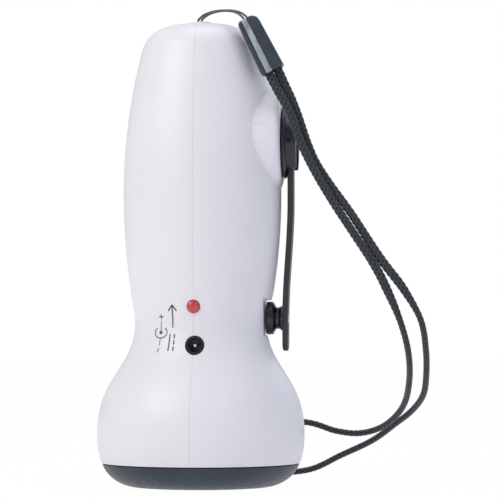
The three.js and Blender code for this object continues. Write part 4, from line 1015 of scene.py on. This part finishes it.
class TORCH_OT_shells(bpy.types.Operator):
    """Add the two halves of the white body, with boss, recess, wells and openings"""

    bl_idname = "torch.shells"
    bl_label = "Body shells"

    def execute(self, context):
        sizes = context.scene.torch_sizes
        wall = sizes.wall / MM
        body = new_object("body", shell_wall(sizes.facets, wall))
        rim = soften(ring(3.5, 2.2, 145, 148.3, steps=48), 0.35, 4)
        block = rod(6, 140, 146.6, steps=48)
        combine(body, "UNION", rim, block)
        panel_y = body_radius(SWITCH_HEIGHT) - PANEL_DEPTH
        thickenings = [slab((-6.8, panel_y - 1.8, 60.7), (6.8, panel_y + 0.6, 79.3))]
        for y, z in SCREW_PLACES:
            end = -6.9 if BOARD_SPAN[0] < z < BOARD_SPAN[1] else -0.4
            thickenings.append(rod(SCREW_POST, -30, end, "x", (0, y, z)))
        for bm in thickenings:
            self.inside(body, bm)
        crank_axis = (0, 0, CRANK_HEIGHT)
        self.inside(body, ring(*RECESS_WALL_RADII, RECESS_WALL_BACK, 24.7, "x", crank_axis, 192))
        cutters = [
            soften(ring(*RECESS_RADII, RECESS_FLOOR, 27, "x", crank_axis, 240), 0.22, 3),
            rod(SPINDLE_BORE, 10, 30, "x", crank_axis),
            rod(JACK_BORE, -34, -14, "y", (JACK_SIDE, 0, JACK_HEIGHT), 64),
            rod(LIGHT_BORE, -34, -14, "y", (0, 0, LIGHT_HEIGHT), 64),
            rod(CROWN_WELL, 141.6, 150, "z", (0, 0, 0), 48),
            soften(slab((-5, panel_y, 62.5), (5, 30, 77.5)), 0.8, 4),
            slab((-1.55, panel_y - 4, 66), (1.55, panel_y + 1, 74)),
        ]
        for y, z in SCREW_PLACES:
            cutters.append(rod(SCREW_WELL, -40, -13, "x", (0, y, z)))
            cutters.append(rod(SCREW_BORE, -14, 2, "x", (0, y, z), 24))
        combine(body, "DIFFERENCE", *cutters)
        gap = sizes.seam / MM / 2
        other = new_object("other", bmesh.new())
        other.data = body.data.copy()
        body.name = "crank_side_skin"
        other.name = "plain_side_skin"
        combine(body, "INTERSECT", slab((gap, -40, 0), (40, 40, 160)))
        combine(other, "INTERSECT", slab((-40, -40, 0), (-gap, 40, 160)))
        place(body, "torch", white_abs(), ["crank_side_shell"], "white_abs")
        place(other, "torch", white_abs(), ["plain_side_shell"], "white_abs")
        return {"FINISHED"}

    @staticmethod
    def inside(body, bm):
        """Joins a thickening to the body, cut off inside the body's skin."""
        part = new_object("thickening", bm)
        combine(part, "INTERSECT", inner_form())
        combine(body, "UNION", taken_back(part))


class TORCH_OT_lamp(bpy.types.Operator):
    """Add the bezel, the reflector and the lamps, which show from below"""

    bl_idname = "torch.lamp"
    bl_label = "Lamp end"

    def execute(self, context):
        edge = curve_points(((22, 0), (26.2, 0.5), (30.4, 3.6), (31.4, 7.2)), 18)
        profile = [
            (20.4, 0), (22, 0), *edge, (29.4, 7.2), (29.4, 13.3), (27.7, 13.3), (27.7, 3.4), (25.3, 3.4), (20.4, 0),
        ]
        bezel = new_object("bezel_rim", soften(turned(profile, 160), 0.2, 3, 40))
        place(bezel, "torch", slate_abs(), ["bezel_ring"], "grey_abs")

        mouth, throat = 25, 9
        bowl = []
        for i in range(25):
            share = i / 24
            bowl.append((math.sqrt(throat**2 + (mouth**2 - throat**2) * (1 - share)), 7.5 + 19.3 * share))
        outside = [(r + 1.2, z) for r, z in bowl if z > 9]
        profile = [
            (0, 26.8), *bowl[::-1], (27.4, 7.5), (27.4, 8.5), (bowl[0][0] + 0.9, 8.5), *outside[:-1],
            (10.2, 28), (0, 28),
        ]
        reflector = new_object("reflector_bowl", turned(profile, 128))
        lamp_places = [
            (5 * math.cos(math.pi / 2 + i * 2 * math.pi / 3), 5 * math.sin(math.pi / 2 + i * 2 * math.pi / 3))
            for i in range(3)
        ]
        combine(reflector, "DIFFERENCE", *[rod(3.2, 24.8, 29.8, "z", (x, y, 0), 48) for x, y in lamp_places])
        place(reflector, "torch", plated_reflector(), ["reflector"], "plating")

        for i, (x, y) in enumerate(lamp_places):
            dome = [(2.5 * math.cos(a * math.pi / 16), 23.6 - 2.5 * math.sin(a * math.pi / 16)) for a in range(1, 9)]
            dome[-1] = (0, 21.1)
            profile = [(0, 28), (2.9, 28), (2.9, 27), (2.5, 26.9), (2.5, 23.6), *dome]
            lamp = new_object(f"lamp_{i + 1}", turned(profile, 48, "z", (x, y, 0)))
            place(lamp, "torch", clear_acrylic(), [f"white_led_{i + 1}"], "clear_plastic")
        return {"FINISHED"}


class TORCH_OT_crank(bpy.types.Operator):
    """Add the hub, the hinged arm, the knob and their pins"""

    bl_idname = "torch.crank"
    bl_label = "Crank"

    def execute(self, context):
        edge = context.scene.torch_sizes.edge / MM
        at = (0, 0, CRANK_HEIGHT)
        hinge = (PIVOT_X, 0, CRANK_HEIGHT)
        knob_axis = (0, 0, KNOB_HEIGHT)
        profile = [
            (0, 7.3), (2.1, 7.3), (2.1, 8.95), (3, 8.95), (3, 12.55), (2.4, 12.55), (2.4, 13.55), (3, 13.55),
            (3, 26.5), (11.2, 26.5), (11.5, 26.8), (11.5, 27.15), (10.9, 27.7), (9.6, 27.7), (9.6, 30.9), (0, 30.9),
        ]
        hub = new_object("crank_hub_head", soften(turned(profile, 96, "x", at), edge, 3, 30))
        combine(
            hub,
            "DIFFERENCE",
            slab((27.7, -4.3, CRANK_HEIGHT - 11), (32, 4.3, CRANK_HEIGHT + 11)),
            slab((27.35, -4.3, CRANK_HEIGHT - 1.85), (32, 4.3, CRANK_HEIGHT + 1.85)),
            slab((13.35, -3.2, CRANK_HEIGHT + 2.3), (16.45, 3.2, CRANK_HEIGHT + 12)),
            rod(HINGE_BORE, -12, 12, "y", hinge, 24),
        )
        place(hub, "crank", black_abs(), ["crank_hub"], "black_abs")
        pin = new_object("hinge_pin_rod", soften(rod(HINGE_PIN_RADIUS, -9.2, 9.2, "y", hinge, 24), 0.12, 2))
        # The pin's dark finish is partly painted shade of the hub round its end.
        place(pin, "crank", blackened_steel_and_hub_shade(), ["hinge_pin"], "steel")

        arm = new_object("crank_arm_bar", self.arm_blade(edge))
        knuckle = soften(rod(1.25, -4, 4, "y", hinge, 40), 0.2, 2)
        combine(arm, "UNION", knuckle)
        arm_x = PIVOT_X - ARM_JOGGLE
        combine(
            arm,
            "DIFFERENCE",
            rod(HINGE_BORE, -6, 6, "y", hinge, 24),
            rod(1.4, 20, 36, "x", knob_axis, 32),
            rod(2.2, arm_x + 0.4, 36, "x", knob_axis, 40),
        )
        place(arm, "arm", black_abs(), ["crank_arm"], "black_abs")

        profile = [
            (1.35, 21), (4.5, 21), *curve_points(((4.5, 21), (5.0, 21.02), (5.25, 21.3), (5.25, 21.8)), 5),
            (5.25, 23), *curve_points(((5.25, 23), (5.2, 23.65), (4.1, 23.65), (3.6, 24.2)), 8),
            *curve_points(((3.6, 24.2), (3.3, 24.5), (3.3, 25.2), (3.9, 25.75)), 8),
            (3.9, 26.05), (1.35, 26.05), (1.35, 21),
        ]
        knob = new_object("crank_knob_spool", turned(profile, 72, "x", knob_axis))
        combine(knob, "DIFFERENCE", rod(2.35, 18, 22.3, "x", knob_axis))
        place(knob, "knob", gloss_black_abs(), ["crank_knob"], "black_gloss")
        profile = [
            (0, 21.25), (1.2, 21.27), (1.8, 21.4), (2.1, 21.7), (2.1, 22.05), (1.1, 22.05), (1.1, 27.85), (1.9, 27.85),
            (1.9, 27.95), (1.6, 28.1), (0, 28.1),
        ]
        rivet = new_object("knob_rivet_shank", turned(profile, 40, "x", knob_axis))
        place(rivet, "arm", zinc_steel(), ["knob_rivet"], "steel")
        return {"FINISHED"}

    @staticmethod
    def arm_blade(edge):
        """The flat arm: its outline in the YZ plane, thickened along X, then stepped in towards the neck."""
        top, tip, half, tip_half = CRANK_HEIGHT + 1.2, KNOB_HEIGHT - 10.45, 4.0, 3.5
        step_height = CRANK_HEIGHT - ARM_STEP_DROP
        points = [(-half, top), (-half, step_height)]
        for i in range(17):
            turn = math.pi + math.pi * i / 16
            points.append((tip_half * math.cos(turn), tip + tip_half + tip_half * math.sin(turn)))
        points += [(half, step_height), (half, top)]
        bm = bmesh.new()
        verts = [bm.verts.new((PIVOT_X - ARM_THICKNESS / 2, y, z)) for y, z in points]
        bm.faces.new(verts)
        made = bmesh.ops.extrude_face_region(bm, geom=bm.faces[:])
        lifted = [g for g in made["geom"] if isinstance(g, bmesh.types.BMVert)]
        bmesh.ops.translate(bm, vec=(ARM_THICKNESS, 0, 0), verts=lifted)
        bmesh.ops.recalc_face_normals(bm, faces=bm.faces)
        soften(bm, edge * 1.6, 3, 40)
        for i in range(1, 36):
            height = top - (top - tip - tip_half) * i / 36
            geom = bm.verts[:] + bm.edges[:] + bm.faces[:]
            bmesh.ops.bisect_plane(bm, geom=geom, plane_co=(0, 0, height), plane_no=(0, 0, 1))
        for vert in bm.verts:
            share = min(1, max(0, (step_height - vert.co.z) / ARM_STEP_RUN))
            vert.co.x -= ARM_JOGGLE * share * share * (3 - 2 * share)
        return bm


class TORCH_OT_seam_fittings(bpy.types.Operator):
    """Add the charging socket, its pin and the charge light on the seam"""

    bl_idname = "torch.seam_fittings"
    bl_label = "Socket and light"

    def execute(self, context):
        face = -body_radius(JACK_HEIGHT) + 0.3
        at = (JACK_SIDE, 0, JACK_HEIGHT)
        profile = [
            (0, face + 14), (2.9, face + 14), (2.9, face + 0.3), (2.6, face), (2.2, face), (1.95, face + 0.3),
            (1.95, face + 8), (0, face + 8),
        ]
        jack = new_object("socket_barrel", turned(profile, 72, "y", at))
        case = new_object("socket_case", soften(slab((-4.7, face + 3.4, 40.4), (4.3, face + 14.3, 49.4)), 0.4, 2))
        combine(case, "DIFFERENCE", rod(2.9, face, face + 12, "y", at))
        combine(jack, "UNION", taken_back(case))
        place(jack, "torch", gloss_black_abs(), ["dc_jack"], "black_abs")
        profile = [(0, face + 7.7), (0.65, face + 7.7), (0.65, face + 1.5), (0.45, face + 1.2), (0, face + 1.1)]
        pin = new_object("socket_pin", turned(profile, 32, "y", at))
        place(pin, "torch", turned_brass(), ["dc_jack_pin"], "brass")

        skin = -body_radius(LIGHT_HEIGHT)
        rim, crest = skin + 0.15, skin - 0.9
        dome = curve_points(((LIGHT_RADIUS, rim), (LIGHT_RADIUS, skin - 0.5), (1.3, crest), (0, crest)), 10)
        profile = [
            (0, skin + 6.2), (2.75, skin + 6.2), (2.75, skin + 2.6), (LIGHT_RADIUS, skin + 2.6), (LIGHT_RADIUS, rim),
            *dome,
        ]
        light = new_object("charge_light_dome", turned(profile, 64, "y", (0, 0, LIGHT_HEIGHT)))
        place(light, "torch", red_lens(), ["charge_light"], "red_lens")
        return {"FINISHED"}


class TORCH_OT_switch(bpy.types.Operator):
    """Add the ribbed thumb slider of the switch, on the back"""

    bl_idname = "torch.switch"
    bl_label = "Switch slider"

    def execute(self, context):
        panel_y = body_radius(SWITCH_HEIGHT) - PANEL_DEPTH
        y, z = panel_y + 0.25, SWITCH_HEIGHT + 2
        pad = new_object("switch_thumb_pad", soften(slab((-4.4, y, z - 5), (4.4, y + 2, z + 5)), 0.5, 4))
        grooves = [
            soften(slab((-6, y + 1.45, middle - 0.38), (6, y + 4, middle + 0.38)), 0.12, 2)
            for middle in (z - 5 + 10 * i / 6 for i in range(1, 6))
        ]
        combine(pad, "DIFFERENCE", *grooves)
        combine(pad, "UNION", slab((-1.3, panel_y - 5.6, z - 1.5), (1.3, y + 0.5, z + 1.5)))
        place(pad, "switch", slate_abs(), ["switch_slider"], "grey_abs")
        return {"FINISHED"}


class TORCH_OT_screws(bpy.types.Operator):
    """Add the cross headed screws in the wells of the plain side"""

    bl_idname = "torch.screws"
    bl_label = "Shell screws"

    def execute(self, context):
        for i, (y, z) in enumerate(SCREW_PLACES):
            profile = [
                (0, -15.1), (1.5, -15.05), (2.3, -14.6), (2.6, -13.9), (2.6, -13.3),
                (1.25, -13.3), (1.25, 6.45), (0, 7.7),
            ]
            screw = new_object(f"shell_screw_{i + 1}_cross", turned(profile, 40, "x", (0, y, z)))
            for wide, tall in ((0.28, 1.5), (1.5, 0.28)):
                combine(screw, "DIFFERENCE", slab((-16, y - wide, z - tall), (-14.2, y + wide, z + tall)))
            place(screw, "torch", zinc_steel(), [f"shell_screw_{i + 1}"], "steel")
        return {"FINISHED"}


def printed_strip(points, width, closed=False):
    """A flat strip of ink along points of (sideways, up), laid on the body's skin left of the seam."""
    bm = bmesh.new()
    rows = []
    count = len(points)
    for i, (s, t) in enumerate(points):
        before = points[(i - 1) % count if closed else max(i - 1, 0)]
        after = points[(i + 1) % count if closed else min(i + 1, count - 1)]
        along = Vector((after[0] - before[0], after[1] - before[1])).normalized()
        side = Vector((-along.y, along.x)) * width / 2
        rows.append([bm.verts.new(on_skin(s + side.x * k, t + side.y * k)) for k in (-1, 1)])
    pairs = list(zip(rows, rows[1:])) + ([(rows[-1], rows[0])] if closed else [])
    for low, high in pairs:
        bm.faces.new((low[0], low[1], high[1], high[0]))
    return bm


def on_skin(sideways, up):
    """A point just proud of the body's skin: sideways is arc length from the seam, up is height."""
    radius = body_radius(up) + PRINT_LIFT
    turn = sideways / PRINT_RADIUS
    return Vector((radius * math.sin(turn), -radius * math.cos(turn), up))


def line(start, end, pieces=6):
    """Even points from start to end."""
    return [tuple(Vector(start).lerp(Vector(end), i / pieces)) for i in range(pieces + 1)]


class TORCH_OT_marks(bpy.types.Operator):
    """Add the printed pictograms beside the socket: polarity, direct current and an arrow"""

    bl_idname = "torch.marks"
    bl_label = "Printed marks"

    def execute(self, context):
        s, t, wide = -11.0, -6.6, 1.3
        arc = [
            (s + 1.75 * wide * math.cos(math.radians(a)), 48.9 + 1.75 * math.sin(math.radians(a)))
            for a in range(130, 411, 10)
        ]
        dot = [(s + 0.3 * math.cos(a * math.pi / 6), 48.9 + 0.3 * math.sin(a * math.pi / 6)) for a in range(12)]
        strips = [
            (arc, 0.34, False),
            (dot, 0.6, True),
            (line((s, 49.2), (s, 52.4)), 0.26, False),
            (line((s, 53.0), (s, 54.6)), 0.34, False),
            (line((s - 0.9, 53.8), (s + 0.9, 53.8)), 0.34, False),
            (line((s, 47.1), (s, 44.8)), 0.26, False),
            (line((s, 44.0), (s, 42.7)), 0.34, False),
            (line((t - 1.0, 43.2), (t - 1.0, 48.4)), 0.42, False),
            (line((t + 0.5, 43.2), (t + 0.5, 44.6)), 0.42, False),
            (line((t + 0.5, 45.1), (t + 0.5, 46.5)), 0.42, False),
            (line((t + 0.5, 47.0), (t + 0.5, 48.4)), 0.42, False),
            (line((t - 0.2, 50.4), (t - 0.2, 57.2), 10), 0.42, False),
            (line((t - 1.6, 55.6), (t - 0.2, 57.5)), 0.42, False),
            (line((t + 1.2, 55.6), (t - 0.2, 57.5)), 0.42, False),
        ]
        whole = bmesh.new()
        for points, width, closed in strips:
            bm = printed_strip(points, width, closed)
            mesh = bpy.data.meshes.new("strip")
            bm.to_mesh(mesh)
            bm.free()
            whole.from_mesh(mesh)
            bpy.data.meshes.remove(mesh)
        bmesh.ops.recalc_face_normals(whole, faces=whole.faces)
        for face in whole.faces:
            outwards = face.calc_center_median()
            outwards.z = 0
            if face.normal.dot(outwards) < 0:
                face.normal_flip()
        marks = new_object("socket_pictograms", whole)
        place(marks, "torch", ink(), (), "black_abs", 60)
        return {"FINISHED"}


class TORCH_OT_carried_parts(bpy.types.Operator):
    """Give every part that is kept from the frame the finish of its real material"""

    bl_idname = "torch.carried_parts"
    bl_label = "Inner parts"

    def execute(self, context):
        board = dull_plastic("solder_masked_board", "#134A30", "#2B7A53", (0.28, 0.42))
        acetal = dull_plastic("natural_acetal", "#DEDACC", "#F0EDE2", (0.3, 0.45))
        sleeve = dull_plastic("shrink_sleeve_green", "#2C5A44", "#4B8468", (0.25, 0.4))
        finishes = {
            "acetal": acetal,
            "black_abs": black_abs(),
            "black_gloss": gloss_black_abs(),
            "board": board,
            "brass": turned_brass(),
            "capacitor_sleeve": dull_plastic("shrink_sleeve_dark", "#20262C", "#39424A", (0.25, 0.4)),
            "cell_sleeve": sleeve,
            "clear_plastic": clear_acrylic(),
            "copper_wire": copper_winding(),
            "dark_nylon": dark_nylon(),
            "grey_abs": slate_abs(),
            "light_nylon": light_nylon(),
            "magnet": dull_plastic("sintered_ferrite", "#2A2826", "#44413C", (0.5, 0.7)),
            "plating": plated_reflector(),
            "red_lens": red_lens(),
            "seal_rubber": dull_plastic("seal_rubber", "#121212", "#232323", (0.7, 0.85)),
            "steel": zinc_steel(),
            "strap_weave": braided_polyester(),
            "white_abs": white_abs(),
        }
        slots = {row["node"]: row["material_slot"] for row in frame["record"]["subparts"]}
        for name, node in frame["nodes"].items():
            for slot in node.material_slots:
                slot.material = finishes[slots[name]]
        return {"FINISHED"}


class TORCH_PT_panel(bpy.types.Panel):
    """The flashlight's sizes, colours and operators"""

    bl_idname = "TORCH_PT_panel"
    bl_label = "Hand crank flashlight"
    bl_space_type = "VIEW_3D"
    bl_region_type = "UI"
    bl_category = "Flashlight"

    def draw(self, context):
        for group in (context.scene.torch_sizes, context.scene.torch_colours):
            for name in group.__annotations__:
                self.layout.prop(group, name)
        for operator in OPERATORS:
            self.layout.operator(operator.bl_idname)


OPERATORS = (
    TORCH_OT_stage,
    TORCH_OT_clamp,
    TORCH_OT_strap,
    TORCH_OT_shells,
    TORCH_OT_lamp,
    TORCH_OT_crank,
    TORCH_OT_seam_fittings,
    TORCH_OT_switch,
    TORCH_OT_screws,
    TORCH_OT_marks,
    TORCH_OT_carried_parts,
)
CLASSES = (TorchSizes, TorchColours, *OPERATORS, TORCH_PT_panel)


def register():
    for one in CLASSES:
        bpy.utils.register_class(one)
    bpy.types.Scene.torch_sizes = PointerProperty(type=TorchSizes)
    bpy.types.Scene.torch_colours = PointerProperty(type=TorchColours)


def unregister():
    del bpy.types.Scene.torch_sizes
    del bpy.types.Scene.torch_colours
    for one in reversed(CLASSES):
        bpy.utils.unregister_class(one)


def main():
    register()
    for operator in OPERATORS:
        group, name = operator.bl_idname.split(".")
        getattr(getattr(bpy.ops, group), name)()


if __name__ == "__main__":
    main()
